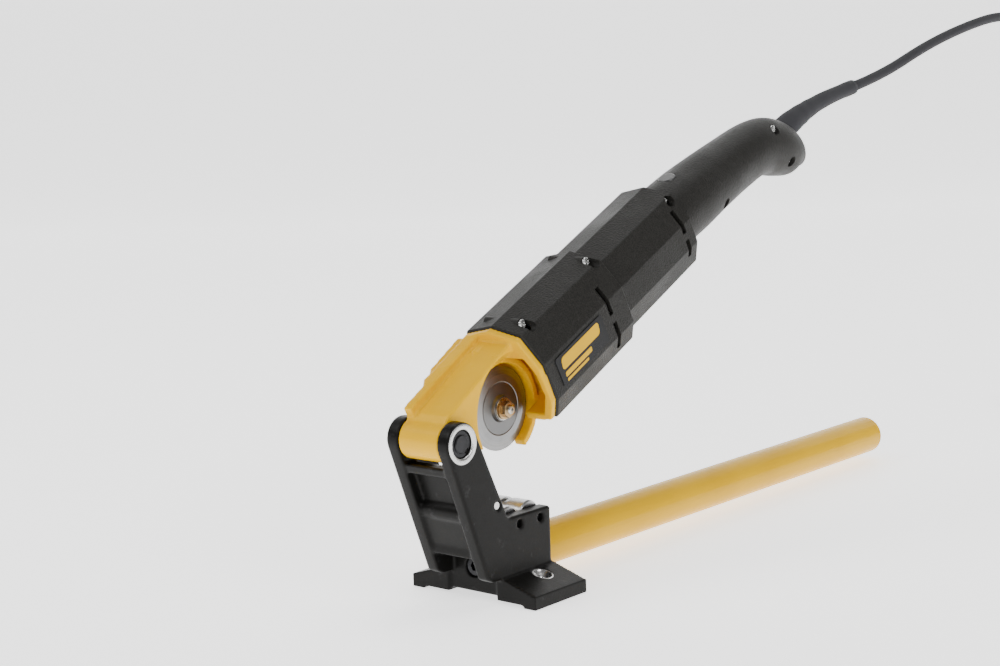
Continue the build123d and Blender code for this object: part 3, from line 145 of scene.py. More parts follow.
class Graph:
    """One material's node tree, with short calls for what the finishes need."""

    def __init__(self, name: str) -> None:
        self.material = bpy.data.materials.new(name)
        self.material.use_nodes = True
        self.tree = self.material.node_tree
        self.shader = self.tree.nodes["Principled BSDF"]
        self.place = self.node("ShaderNodeTexCoord").outputs["Object"]

    def feed(self, slot: bpy.types.NodeSocket, term: object) -> None:
        """Links a value or a socket to an input, or sets a plain number on it."""
        if isinstance(term, Value):
            self.tree.links.new(term.socket, slot)
        elif isinstance(term, bpy.types.NodeSocket):
            self.tree.links.new(term, slot)
        else:
            slot.default_value = term

    def node(self, kind: str, settings: dict | None = None, **inputs: object) -> bpy.types.Node:
        """Adds one node.

        Args:
            kind: The node's type name.
            settings: Properties of the node.
            inputs: Its inputs, by name with underscores for spaces.

        Returns:
            The new node.
        """
        made = self.tree.nodes.new(kind)
        for key, setting in (settings or {}).items():
            setattr(made, key, setting)
        for key, term in inputs.items():
            self.feed(made.inputs[key.replace("_", " ")], term)
        return made

    def noise(
        self,
        scale: float,
        detail: float = 2.0,
        rough: float = 0.5,
        place: object = None,
    ) -> Value:
        """Adds smooth noise.

        Args:
            scale: Cells per metre.
            detail: Octaves of finer noise.
            rough: How strong the finer octaves are.
            place: Where it is read, or None for the object's own place.

        Returns:
            The noise, from 0 to 1.
        """
        made = self.node(
            "ShaderNodeTexNoise",
            Vector=self.place if place is None else place,
            Scale=scale,
            Detail=detail,
            Roughness=rough,
        )
        return Value(self, made.outputs["Fac"])

    def cells(self, scale: float) -> Value:
        """Returns the distance to the nearest of many scattered points."""
        made = self.node("ShaderNodeTexVoronoi", Vector=self.place, Scale=scale)
        return Value(self, made.outputs["Distance"])

    def stretched(self, factors: Point) -> bpy.types.NodeSocket:
        """Returns the place with each axis multiplied by its factor."""
        made = self.node("ShaderNodeVectorMath", {"operation": "MULTIPLY"})
        self.feed(made.inputs[0], self.place)
        made.inputs[1].default_value = factors
        return made.outputs[0]

    def axes(self) -> tuple[Value, Value, Value]:
        """Returns the three coordinates of the place."""
        made = self.node("ShaderNodeSeparateXYZ", Vector=self.place)
        return tuple(Value(self, out) for out in made.outputs)

    def distance(self, first: Value, second: Value) -> Value:
        """Returns the length of a two-part offset."""
        return (first * first + second * second).power(0.5)

    def span(self, value: Value, low: float, high: float, start: float, end: float) -> Value:
        """Returns a value mapped softly from one range to another."""
        made = self.node("ShaderNodeMapRange", {"interpolation_type": "SMOOTHSTEP"}, Value=value)
        made.inputs["From Min"].default_value = low
        made.inputs["From Max"].default_value = high
        made.inputs["To Min"].default_value = start
        made.inputs["To Max"].default_value = end
        return Value(self, made.outputs["Result"])

    def blend(self, share: "Value | float", first: object, second: object) -> bpy.types.NodeSocket:
        """Returns a mix of two colours."""
        made = self.tree.nodes.new("ShaderNodeMix")
        made.data_type = "RGBA"
        slots = {slot.identifier: slot for slot in made.inputs}
        self.feed(slots["Factor_Float"], share)
        for key, colour in (("A_Color", first), ("B_Color", second)):
            self.feed(slots[key], (*colour, 1.0) if isinstance(colour, tuple) else colour)
        return next(out for out in made.outputs if out.identifier == "Result_Color")

    def relief(
        self,
        height: Value,
        depth: float,
        strength: float = 1.0,
        under: object = None,
    ) -> object:
        """Returns a normal bent by a height.

        Args:
            height: The relief, from 0 to 1.
            depth: Its depth in metres.
            strength: How much of it shows.
            under: A normal that this relief lies on.

        Returns:
            The bent normal.
        """
        made = self.node("ShaderNodeBump", Height=height, Strength=strength, Distance=depth)
        if under is not None:
            self.feed(made.inputs["Normal"], under)
        return made.outputs["Normal"]

    def close(self, **inputs: object) -> bpy.types.Material:
        """Sets the shader's inputs and returns the material."""
        for key, term in inputs.items():
            name = key.replace("_", " ")
            self.feed(self.shader.inputs[name], (*term, 1.0) if isinstance(term, tuple) else term)
        return self.material


# ------------------------------------------------------------------ finishes


@dataclass(frozen=True)
class GlossPaint:
    """Glossy paint over a casting or a tube, with a faint orange peel and small blemishes.

    Attributes:
        name: Name of the material.
        colour: Paint colour.
        shade: Darker tone that the paint drifts towards.
        peel: Depth of the orange peel, in metres.
        roughness: Mean roughness.
        specular: Strength of the paint's own reflection.
        coat: Strength of the clear gloss over it.
        coat_roughness: Roughness of that gloss.
        speck_shade: How dark a blemish is against the paint.
    """

    name: str
    colour: Colour
    shade: Colour
    peel: float
    roughness: float
    specular: float = 0.1
    coat: float = 0.04
    coat_roughness: float = 0.1
    speck_shade: float = 0.35

    def build(self) -> bpy.types.Material:
        """Makes the material."""
        graph = Graph(self.name)
        drift = graph.noise(24.0, 3.0)
        specks = graph.noise(1500.0, 2.0).above(0.74, 0.05)
        tone = graph.blend(drift.above(0.55, 0.5), self.colour, self.shade)
        tone = graph.blend(specks * 0.35, tone, scaled(self.colour, self.speck_shade))
        smudge = graph.noise(55.0, 4.0, 0.6)
        peel = graph.relief(graph.noise(620.0, 1.5), self.peel, 0.5)
        return graph.close(
            Base_Color=tone,
            Roughness=smudge * 0.14 + (self.roughness - 0.05),
            Specular_IOR_Level=self.specular,
            Coat_Weight=self.coat,
            Coat_Roughness=self.coat_roughness,
            Normal=peel,
        )


@dataclass(frozen=True)
class BaseCasting:
    """Satin black cast base, bare metal round the hinge and in the bench screw holes.

    Attributes:
        name: Name of the material.
        colour: Paint colour.
        bare: Colour of the machined metal.
        ring_radius: Radius of the machined ring on each ear, in metres.
        ear_x: Where each ear's outer face lies, in metres.
        screw_x: Distance of each bench screw from the middle, in metres.
        screw_radius: Radius of the bare seat of a bench screw, in metres.
        seat_height: Height above which that seat is bare, in metres.
        edge: Width of the soft edge round a bare area, in metres.
        ear_edge: Width over which the ear's outer face turns bare, in metres.
        seat_edge: Width over which a screw's seat turns bare upwards, in metres.
        turning: Turned ring waves per metre of radius, in radians.
        worn: Colour where the paint is rubbed.
        cloudy: How much lighter the paint's cloudy patches are.
        specular: Strength of the paint's reflection.
    """

    name: str
    colour: Colour = (0.0052, 0.005, 0.0046)
    bare: Colour = (0.62, 0.62, 0.61)
    ring_radius: float = 0.0107
    ear_x: float = 0.0212
    screw_x: float = 0.0283
    screw_radius: float = 0.0057
    seat_height: float = 0.003
    edge: float = 0.0004
    ear_edge: float = 0.0003
    seat_edge: float = 0.001
    turning: float = 21000.0
    worn: Colour = (0.05, 0.05, 0.052)
    cloudy: float = 1.9
    specular: float = 0.1

    def build(self) -> bpy.types.Material:
        """Makes the material."""
        graph = Graph(self.name)
        x, y, z = graph.axes()
        side = x.size()
        from_hinge = graph.distance(y - HINGE.y, z - HINGE.z)
        from_screw = graph.distance(side - self.screw_x, y)
        ring = from_hinge.below(self.ring_radius, self.edge)
        ring = ring * side.above(self.ear_x, self.ear_edge)
        seat = from_screw.below(self.screw_radius, self.edge)
        seat = seat * z.above(self.seat_height, self.seat_edge)
        bare = Value.combine(graph, "MAXIMUM", ring, seat)
        turned = ((from_hinge * self.turning).sine() * 0.5 + 0.5) * ring
        rubbed = graph.noise(130.0, 4.0, 0.65).above(0.66, 0.12)
        cloud = graph.noise(36.0, 3.0)
        paint = graph.blend(cloud, self.colour, scaled(self.colour, self.cloudy))
        paint = graph.blend(rubbed * 0.3, paint, self.worn)
        skin = graph.noise(1100.0, 3.0, 0.6)
        normal = graph.relief(skin, 0.00016, 0.55)
        normal = graph.relief(turned, 0.00003, 0.4, normal)
        rough = graph.noise(240.0, 2.0) * 0.16 + 0.27
        return graph.close(
            Base_Color=graph.blend(bare, paint, self.bare),
            Metallic=bare,
            Roughness=rough - bare * 0.08,
            Specular_IOR_Level=self.specular,
            Normal=normal,
        )


@dataclass(frozen=True)
class GrainedPlastic:
    """Moulded plastic with a fine leather-like grain that shines where hands rub it.

    Attributes:
        name: Name of the material.
        colour: Colour of the plastic.
        grain: Grains per metre.
        depth: Depth of the grain, in metres.
        roughness: Mean roughness.
        raised: How much lighter the tops of the grain are.
        dust: Colour of the dust that settles in it.
        specular: Strength of the plastic's reflection.
    """

    name: str
    colour: Colour
    grain: float
    depth: float
    roughness: float
    raised: float = 2.3
    dust: Colour = (0.11, 0.108, 0.10)
    specular: float = 0.16

    def build(self) -> bpy.types.Material:
        """Makes the material."""
        graph = Graph(self.name)
        pits = graph.cells(self.grain)
        fine = graph.noise(self.grain * 1.7, 2.0, 0.6)
        wear = graph.noise(30.0, 3.0, 0.55).above(0.58, 0.25)
        dusty = graph.noise(420.0, 4.0, 0.7).above(0.68, 0.12)
        tone = graph.blend(fine.above(0.5, 0.3), self.colour, scaled(self.colour, self.raised))
        tone = graph.blend(dusty * 0.16, tone, self.dust)
        normal = graph.relief(pits * 0.7 + fine * 0.5, self.depth, 0.8)
        normal = graph.relief(graph.noise(90.0, 2.0), 0.00025, 0.2, normal)
        return graph.close(
            Base_Color=tone,
            Roughness=fine * 0.14 + (self.roughness - 0.04) - wear * 0.1,
            Specular_IOR_Level=self.specular,
            Normal=normal,
        )


@dataclass(frozen=True)
class TurnedMetal:
    """Metal turned in a lathe: fine rings round an axis along X.

    Attributes:
        name: Name of the material.
        colour: Metal colour.
        centre: Any point on the axis, in the row frame.
        pitch: Ring waves per metre of radius, in radians.
        depth: Depth of the rings, in metres.
        roughness: Mean roughness.
        step: Radius of a small step in the face, in metres, or 0 for none.
        step_edge: Width of that step, in metres.
        step_depth: Its depth, in metres.
    """

    name: str
    colour: Colour
    centre: Vector
    pitch: float
    depth: float
    roughness: float
    step: float = 0.0
    step_edge: float = 0.0007
    step_depth: float = 0.0006

    def build(self) -> bpy.types.Material:
        """Makes the material."""
        graph = Graph(self.name)
        _, y, z = graph.axes()
        radius = graph.distance(y - self.centre.y, z - self.centre.z)
        radial = graph.node("ShaderNodeCombineXYZ", X=radius)
        bands = graph.noise(900.0, 4.0, 0.75, radial.outputs[0])
        rings = (radius * self.pitch).sine() * 0.25 + bands
        stains = graph.noise(120.0, 4.0, 0.6)
        dark = scaled(self.colour, 0.55)
        darkened = bands.above(0.5, 0.5) * 0.5 + stains.above(0.62, 0.3) * 0.25
        tone = graph.blend(darkened, self.colour, dark)
        outside = radius.above(self.step, self.step_edge)
        normal = graph.relief(rings, self.depth, 0.7)
        return graph.close(
            Base_Color=graph.blend(outside, dark, tone),
            Metallic=1.0,
            Roughness=bands * 0.16 + stains * 0.1 + (self.roughness - 0.1),
            Normal=graph.relief(outside, self.step_depth, 1.0, normal),
        )


@dataclass(frozen=True)
class WorkedMetal:
    """Machined or plated metal with drawn-out scratches and dull patches.

    Attributes:
        name: Name of the material.
        colour: Metal colour.
        stretch: How much the scratches are drawn out along each axis.
        roughness: Mean roughness.
    """

    name: str
    colour: Colour
    stretch: Point
    roughness: float

    def build(self) -> bpy.types.Material:
        """Makes the material."""
        graph = Graph(self.name)
        scratches = graph.noise(900.0, 4.0, 0.7, graph.stretched(self.stretch))
        patches = graph.noise(160.0, 4.0, 0.6)
        dark = scaled(self.colour, 0.6)
        return graph.close(
            Base_Color=graph.blend(patches.above(0.5, 0.45) * 0.5, self.colour, dark),
            Metallic=1.0,
            Roughness=scratches * 0.2 + patches * 0.08 + (self.roughness - 0.14),
            Normal=graph.relief(scratches, 0.00004, 0.6),
        )


@dataclass(frozen=True)
class SoftRubber:
    """Matt rubber with a faint bloom and fine pores.

    Attributes:
        name: Name of the material.
        colour: Rubber colour.
        roughness: Mean roughness.
        bloom: How much lighter the bloom is than the rubber.
        specular: Strength of the rubber's reflection.
    """

    name: str
    colour: Colour
    roughness: float
    bloom: float = 2.6
    specular: float = 0.16

    def build(self) -> bpy.types.Material:
        """Makes the material."""
        graph = Graph(self.name)
        pores = graph.noise(1900.0, 3.0, 0.6)
        hazy = graph.noise(75.0, 4.0, 0.6).above(0.56, 0.3)
        return graph.close(
            Base_Color=graph.blend(hazy * 0.3, self.colour, scaled(self.colour, self.bloom)),
            Roughness=pores * 0.14 + hazy * 0.08 + (self.roughness - 0.08),
            Specular_IOR_Level=self.specular,
            Normal=graph.relief(pores, 0.00008, 0.6),
        )


@dataclass(frozen=True)
class LayeredMetal:
    """Stacked sheets or wound wire: even bands along the motor axis.

    Attributes:
        name: Name of the material.
        colour: Main colour.
        gap: Colour between the bands.
        pitch: Band waves per metre, in radians.
        metallic: How metallic the bands are.
    """

    name: str
    colour: Colour
    gap: Colour
    pitch: float
    metallic: float

    def build(self) -> bpy.types.Material:
        """Makes the material."""
        graph = Graph(self.name)
        _, y, z = graph.axes()
        along = y * cos(DRIVE_TILT) + z * sin(DRIVE_TILT)
        bands = (along * self.pitch).sine() * 0.5 + 0.5
        marks = graph.noise(500.0, 3.0)
        return graph.close(
            Base_Color=graph.blend(bands.below(0.3, 0.3), self.colour, self.gap),
            Metallic=self.metallic,
            Roughness=marks * 0.25 + 0.3,
            Normal=graph.relief(bands, 0.0002, 0.8),
        )


@dataclass(frozen=True)
class PaleFloor:
    """Plain pale studio floor.

    Attributes:
        name: Name of the material.
        colour: Floor colour.
        glow: How much the floor lights itself, as a lit studio table does.
        mottled: How light its mottled patches are against the rest.
    """

    name: str = "pale_floor"
    colour: Colour = (0.93, 0.93, 0.93)
    glow: float = 1.6
    mottled: float = 0.98

    def build(self) -> bpy.types.Material:
        """Makes the material."""
        graph = Graph(self.name)
        mottle = graph.noise(3.0, 2.0)
        tone = graph.blend(mottle * 0.3, self.colour, scaled(self.colour, self.mottled))
        return graph.close(
            Base_Color=tone,
            Roughness=mottle * 0.06 + 0.5,
            Specular_IOR_Level=0.1,
            Emission_Color=tone,
            Emission_Strength=self.glow,
        )


SPINDLE = drive_point(0.0, 53.0, -16.7)


class Finish(Enum):
    """Every finish of the tool."""

    YELLOW_CAST = GlossPaint(
        "yellow_cast_paint", (0.84, 0.47, 0.0), (0.76, 0.41, 0.0), 0.00009, 0.26
    )
    YELLOW_TUBE = GlossPaint(
        "yellow_tube_paint", (0.76, 0.435, 0.0), (0.69, 0.385, 0.0), 0.00005, 0.2
    )
    BLACK_CAST = BaseCasting("black_cast_paint")
    HOUSING = GrainedPlastic("charcoal_plastic", (0.0105, 0.0101, 0.009), 950.0, 0.0003, 0.46)
    BUTTON = GrainedPlastic("button_plastic", (0.007, 0.0069, 0.0064), 2400.0, 0.00003, 0.5)
    CASE = GrainedPlastic("case_plastic", (0.05, 0.05, 0.055), 1800.0, 0.00004, 0.4)
    PALE = GrainedPlastic("pale_plastic", (0.55, 0.54, 0.5), 1600.0, 0.00004, 0.45)
    CARBON = GrainedPlastic("pressed_carbon", (0.02, 0.02, 0.021), 2600.0, 0.00004, 0.5)
    PANEL = GrainedPlastic("panel_plastic", (0.007, 0.007, 0.0075), 2600.0, 0.00002, 0.33)
    PRINT = GlossPaint("yellow_print", (0.74, 0.43, 0.0), (0.68, 0.385, 0.0), 0.00003, 0.34)
    WHEEL = TurnedMetal("wheel_steel", (0.3, 0.3, 0.3), SPINDLE, 14000.0, 0.00003, 0.32, 0.0147)
    ROLLER = WorkedMetal("roller_steel", (0.5, 0.5, 0.5), (0.1, 1.0, 1.0), 0.3)
    BRIGHT = WorkedMetal("bright_steel", (0.66, 0.66, 0.65), (1.0, 0.4, 0.4), 0.24)
    # Blackened steel for the hinge pin, its rings and the tube bolt; on the middle and rear roller
    # axle ends it is painted shade.
    DARK_STEEL = WorkedMetal("blackened_steel", (0.035, 0.035, 0.037), (1.0, 0.5, 0.5), 0.36)
    BRASS = WorkedMetal("brass", (0.5, 0.36, 0.2), (1.0, 0.5, 0.5), 0.28)
    BRONZE = WorkedMetal("sintered_bronze", (0.42, 0.28, 0.14), (1.0, 1.0, 1.0), 0.42)
    GEAR = WorkedMetal("gear_steel", (0.36, 0.36, 0.37), (1.0, 0.5, 0.5), 0.34)
    SHEETS = LayeredMetal("stacked_sheets", (0.34, 0.34, 0.36), (0.05, 0.05, 0.05), 12566.0, 1.0)
    WINDING = LayeredMetal("copper_winding", (0.55, 0.2, 0.07), (0.12, 0.03, 0.01), 15708.0, 0.8)
    RUBBER = SoftRubber("cord_rubber", (0.0052, 0.0051, 0.0047), 0.52)

    def material(self) -> bpy.types.Material:
        """Returns the finish's material, made the first time it is asked for."""
        found = bpy.data.materials.get(self.value.name)
        return found or self.value.build()


# ------------------------------------------------------------------ mesh helpers


def dress(node: str, finish: Finish) -> None:
    """Gives a CAD node a finish.

    Args:
        node: The node's name.
        finish: The finish for every slot of its object.
    """
    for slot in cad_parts[node].material_slots:
        slot.material = finish.material()


def new_piece(
    name: str,
    mesh: bpy.types.Mesh,
    finish: Finish,
    body: str | None,
) -> bpy.types.Object:
    """Makes an object that rides on a body, or on none.

    Args:
        name: Name of the piece.
        mesh: Its mesh, in the row frame.
        finish: Its finish.
        body: The body it rides on, or None.

    Returns:
        The new object.
    """
    piece = bpy.data.objects.new(name, mesh)
    bpy.context.scene.collection.objects.link(piece)
    mesh.materials.clear()
    mesh.materials.append(finish.material())
    if body is not None:
        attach(piece, body)
    return piece


def mesh_from(
    name: str,
    points: Sequence[Sequence[float]],
    faces: Sequence[Sequence[int]],
) -> bpy.types.Mesh:
    """Makes a smooth shaded mesh whose faces look outward."""
    mesh = bpy.data.meshes.new(name)
    mesh.from_pydata([tuple(point) for point in points], [], [tuple(face) for face in faces])
    shape = bmesh.new()
    shape.from_mesh(mesh)
    bmesh.ops.recalc_face_normals(shape, faces=shape.faces)
    for face in shape.faces:
        face.smooth = True
    shape.to_mesh(mesh)
    shape.free()
    return mesh


def tube_mesh(
    name: str,
    line: Sequence[Vector],
    radii: Sequence[float],
    around: int,
) -> bpy.types.Mesh:
    """Makes a closed tube that follows a line without twisting.

    Args:
        name: Name of the mesh.
        line: Points of the centre line.
        radii: Radius at each point.
        around: Points round the tube.

    Returns:
        The mesh.
    """
    points: list[Vector] = []
    heading = (line[1] - line[0]).normalized()
    side = heading.orthogonal().normalized()
    for index, centre in enumerate(line):
        before = line[max(index - 1, 0)]
        after = line[min(index + 1, len(line) - 1)]
        heading = (after - before).normalized()
        side = (side - heading * side.dot(heading)).normalized()
        other = heading.cross(side)
        for step in range(around):
            turn = 2 * pi * step / around
            points.append(centre + (side * cos(turn) + other * sin(turn)) * radii[index])
    faces: list[tuple[int, ...]] = []
    for ring in range(len(line) - 1):
        for step in range(around):
            after = (step + 1) % around
            low, high = ring * around, (ring + 1) * around
            faces.append((low + step, low + after, high + after, high + step))
    faces.append(tuple(range(around)))
    faces.append(tuple((len(line) - 1) * around + step for step in range(around)))
    return mesh_from(name, points, faces)


def baked(piece: bpy.types.Object) -> bpy.types.Mesh:
    """Returns the mesh of an object with its modifiers applied."""
    graph = bpy.context.evaluated_depsgraph_get()
    return bpy.data.meshes.new_from_object(piece.evaluated_get(graph), depsgraph=graph)


class Casting:
    """A CAD node given the soft edges of a sand casting.

    Attributes:
        weld_gap: Corners closer than this are joined, in metres.
        ease: How far one smoothing round moves a corner, from 0 to 1.
    """

    weld_gap = 1e-6
    ease = 0.5

    def __init__(self, node: str, voxel: float, rounds: int, tilt: float) -> None:
        """Stores what the casting needs.

        Args:
            node: The CAD node that it follows.
            voxel: Cell size of its new surface, in metres.
            rounds: Smoothing rounds.
            tilt: Turn about the hinge that brings its flat faces square, in radians.
        """
        self.node = node
        self.voxel = voxel
        self.rounds = rounds
        self.square = Matrix.Rotation(-tilt, 4, "X") @ Matrix.Translation(-HINGE)

    def build(self, finish: Finish, body: str, slot: str) -> bpy.types.Object:
        """Makes the piece and lets it stand for its node.

        Args:
            finish: The finish of the piece.
            body: The body it rides on.
            slot: A material slot name, which is not used.

        Returns:
            The new piece.
        """
        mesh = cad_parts[self.node].data.copy()
        mesh.transform(self.square)
        rough = bpy.data.objects.new(self.node + "_blank", mesh)
        bpy.context.scene.collection.objects.link(rough)
        weld = rough.modifiers.new("weld", "WELD")
        weld.merge_threshold = self.weld_gap
        skin = rough.modifiers.new("skin", "REMESH")
        skin.mode = "VOXEL"
        skin.voxel_size = self.voxel
        ease = rough.modifiers.new("ease", "SMOOTH")
        ease.factor = self.ease
        ease.iterations = self.rounds
        made = baked(rough)
        bpy.data.objects.remove(rough)
        made.transform(self.square.inverted())
        for face in made.polygons:
            face.use_smooth = True
        piece = new_piece(self.node + "_casting", made, finish, body)
        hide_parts(self.node)
        return piece


# ------------------------------------------------------------------ screw heads


@dataclass(frozen=True)
class ScrewSizes:
    """Sizes of a housing screw's head, in millimetres.

    Attributes:
        radius: Radius of the head.
        height: Height of its middle.
        dome: How much lower its rim is.
        dome_power: How late the dome falls off towards the rim.
        arm_length: Length of one arm of the cross.
        arm_width: Half width of an arm.
        flare: How steeply an arm's walls close in.
        wall: Distance over which an arm reaches its full depth.
        recess: Depth of the cross in the middle.
        rise: Share of that depth that is lost towards an arm's end.
    """

    radius: float = 2.9
    height: float = 2.1
    dome: float = 0.7
    dome_power: float = 2.4
    arm_length: float = 1.75
    arm_width: float = 0.42
    flare: float = 2.2
    wall: float = 0.35
    recess: float = 1.25
    rise: float = 0.35


class ScrewHeads:
    """Cross-recessed heads of the screws that hold the two housing halves together.

    Attributes:
        seats: Where each head of the motor housing sits: its distance along the motor axis,
            its height above that axis and its distance to the near side, in millimetres.
        handle_seats: The same for the heads of the handle.
        lift: How far a head stands off its seat, in millimetres.
        rings: Rings of points in a head's face.
        around: Points round a head.
        turn_seed: Seed of the heads' own turns.
    """

    seats = ((79.0, 21.8, 12.0), (143.0, 21.8, 12.0), (222.0, 15.6, 14.0))
    handle_seats = ((350.0, -6.5, 11.0), (356.0, -33.0, 11.0), (277.0, -18.0, 11.0))
    lift = 0.05
    rings = 18
    around = 64
    turn_seed = 7

    def __init__(self, sizes: ScrewSizes = ScrewSizes()) -> None:
        self.sizes = sizes

    def height_at(self, across: float, along: float) -> float:
        """Height of the head's face over a point, in millimetres."""
        sizes = self.sizes
        out = hypot(across, along) / sizes.radius
        height = sizes.height - sizes.dome * out**sizes.dome_power
        for reach, width in ((abs(across), abs(along)), (abs(along), abs(across))):
            inside = min(sizes.arm_length - reach, sizes.flare * (sizes.arm_width - width))
            if inside > 0:
                kept = 1.0 - sizes.rise * reach / sizes.arm_length
                sunk = sizes.recess * min(1.0, inside / sizes.wall) * kept
                height = min(height, sizes.height - sunk)
        return height

    def head(self) -> bpy.types.Mesh:
        """Makes one head with its axis along X, standing on the plane X = 0."""
        sizes = self.sizes
        rings, around = self.rings, self.around
        points: list[Point] = [(self.height_at(0.0, 0.0) * MM, 0.0, 0.0)]
        for ring in range(1, rings + 1):
            out = sizes.radius * ring / rings
            for step in range(around):
                turn = 2 * pi * step / around
                across, along = out * cos(turn), out * sin(turn)
                points.append((self.height_at(across, along) * MM, across * MM, along * MM))
        for step in range(around):
            turn = 2 * pi * step / around
            points.append((0.0, sizes.radius * cos(turn) * MM, sizes.radius * sin(turn) * MM))
        faces: list[tuple[int, ...]] = []
        for step in range(around):
            faces.append((0, 1 + step, 1 + (step + 1) % around))
        for ring in range(rings):
            low, high = 1 + ring * around, 1 + (ring + 1) * around
            for step in range(around):
                after = (step + 1) % around
                faces.append((low + step, high + step, high + after, low + after))
        faces.append(tuple(1 + rings * around + step for step in range(around)))
        return mesh_from("screw_head", points, faces)

    def spread(self, template: bpy.types.Object) -> bpy.types.NodeTree:
        """Makes the node group that sets a head on every point, each turned differently.

        Args:
            template: The head that is set.

        Returns:
            The node group.
        """
        group = bpy.data.node_groups.new("spread_heads", "GeometryNodeTree")
        sockets = group.interface
        sockets.new_socket("Geometry", in_out="INPUT", socket_type="NodeSocketGeometry")
        seed = sockets.new_socket("Seed", in_out="INPUT", socket_type="NodeSocketInt")
        sockets.new_socket("Geometry", in_out="OUTPUT", socket_type="NodeSocketGeometry")
        made = group.nodes.new
        link = group.links.new
        entry, leave = made("NodeGroupInput"), made("NodeGroupOutput")
        info = made("GeometryNodeObjectInfo")
        info.inputs["Object"].default_value = template
        turn = made("FunctionNodeRandomValue")
        turn.inputs[3].default_value = 2 * pi
        spin = made("ShaderNodeCombineXYZ")
        place = made("GeometryNodeInstanceOnPoints")
        solid = made("GeometryNodeRealizeInstances")
        coat = made("GeometryNodeSetMaterial")
        coat.inputs["Material"].default_value = Finish.BRIGHT.material()
        seed_out = next(out for out in entry.outputs if out.identifier == seed.identifier)
        link(seed_out, turn.inputs["Seed"])
        link(turn.outputs[1], spin.inputs["X"])
        link(entry.outputs[0], place.inputs["Points"])
        link(info.outputs["Geometry"], place.inputs["Instance"])
        link(spin.outputs[0], place.inputs["Rotation"])
        link(place.outputs[0], solid.inputs[0])
        link(solid.outputs[0], coat.inputs[0])
        link(coat.outputs[0], leave.inputs[0])
        return group

    def build(self) -> bpy.types.Object:
        """Makes all heads as one piece that stands for the screws' CAD node."""
        template = bpy.data.objects.new("head_template", self.head())
        bpy.context.scene.collection.objects.link(template)
        seats = [drive_point(x + self.lift, u, v) for u, v, x in self.seats + self.handle_seats]
        marks = bpy.data.meshes.new("head_places")
        marks.from_pydata(seats, [], [])
        holder = bpy.data.objects.new("head_holder", marks)
        bpy.context.scene.collection.objects.link(holder)
        spread = holder.modifiers.new("spread", "NODES")
        spread.node_group = self.spread(template)
        seed = next(item for item in spread.node_group.interface.items_tree if item.name == "Seed")
        spread[seed.identifier] = self.turn_seed
        mesh = baked(holder)
        bpy.data.objects.remove(holder)
        bpy.data.objects.remove(template)
        piece = new_piece("housing_screw_heads", mesh, Finish.BRIGHT, "drive")
        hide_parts("housing_screws")
        return piece


# ------------------------------------------------------------------ base


class Base:
    """Cast base with its rollers, hinge pin and support tube."""

    def build(self) -> None:
        """Makes the casting and dresses the CAD pieces."""
        casting = Casting("base_bracket", voxel=0.0008, rounds=3, tilt=0.0)
        casting.build(Finish.BLACK_CAST, "base", "black_casting")
        for node in ("support_tube", "tube_end_cap"):
            dress(node, Finish.YELLOW_TUBE)
        for name in ("front", "middle", "rear"):
            dress(name + "_roller", Finish.ROLLER)
            # Painted shade: the middle and rear axle ends sit recessed in the plates and take dark
            # steel to stand for their shade; the front axle end takes bright steel.
            dress(name + "_roller_axle", Finish.BRIGHT if name == "front" else Finish.DARK_STEEL)
        dress("hinge_pin", Finish.DARK_STEEL)
        dress("hinge_retaining_rings", Finish.DARK_STEEL)
        dress("tube_bolt", Finish.DARK_STEEL)
        dress("tube_plug_nut", Finish.GEAR)


# ------------------------------------------------------------------ drive unit


@dataclass(frozen=True)
class LabelBar:
    """One plain printed bar on the side panel, in millimetres along the panel and up it."""

    along: float
    up: float
    length: float
    height: float
    lean: float


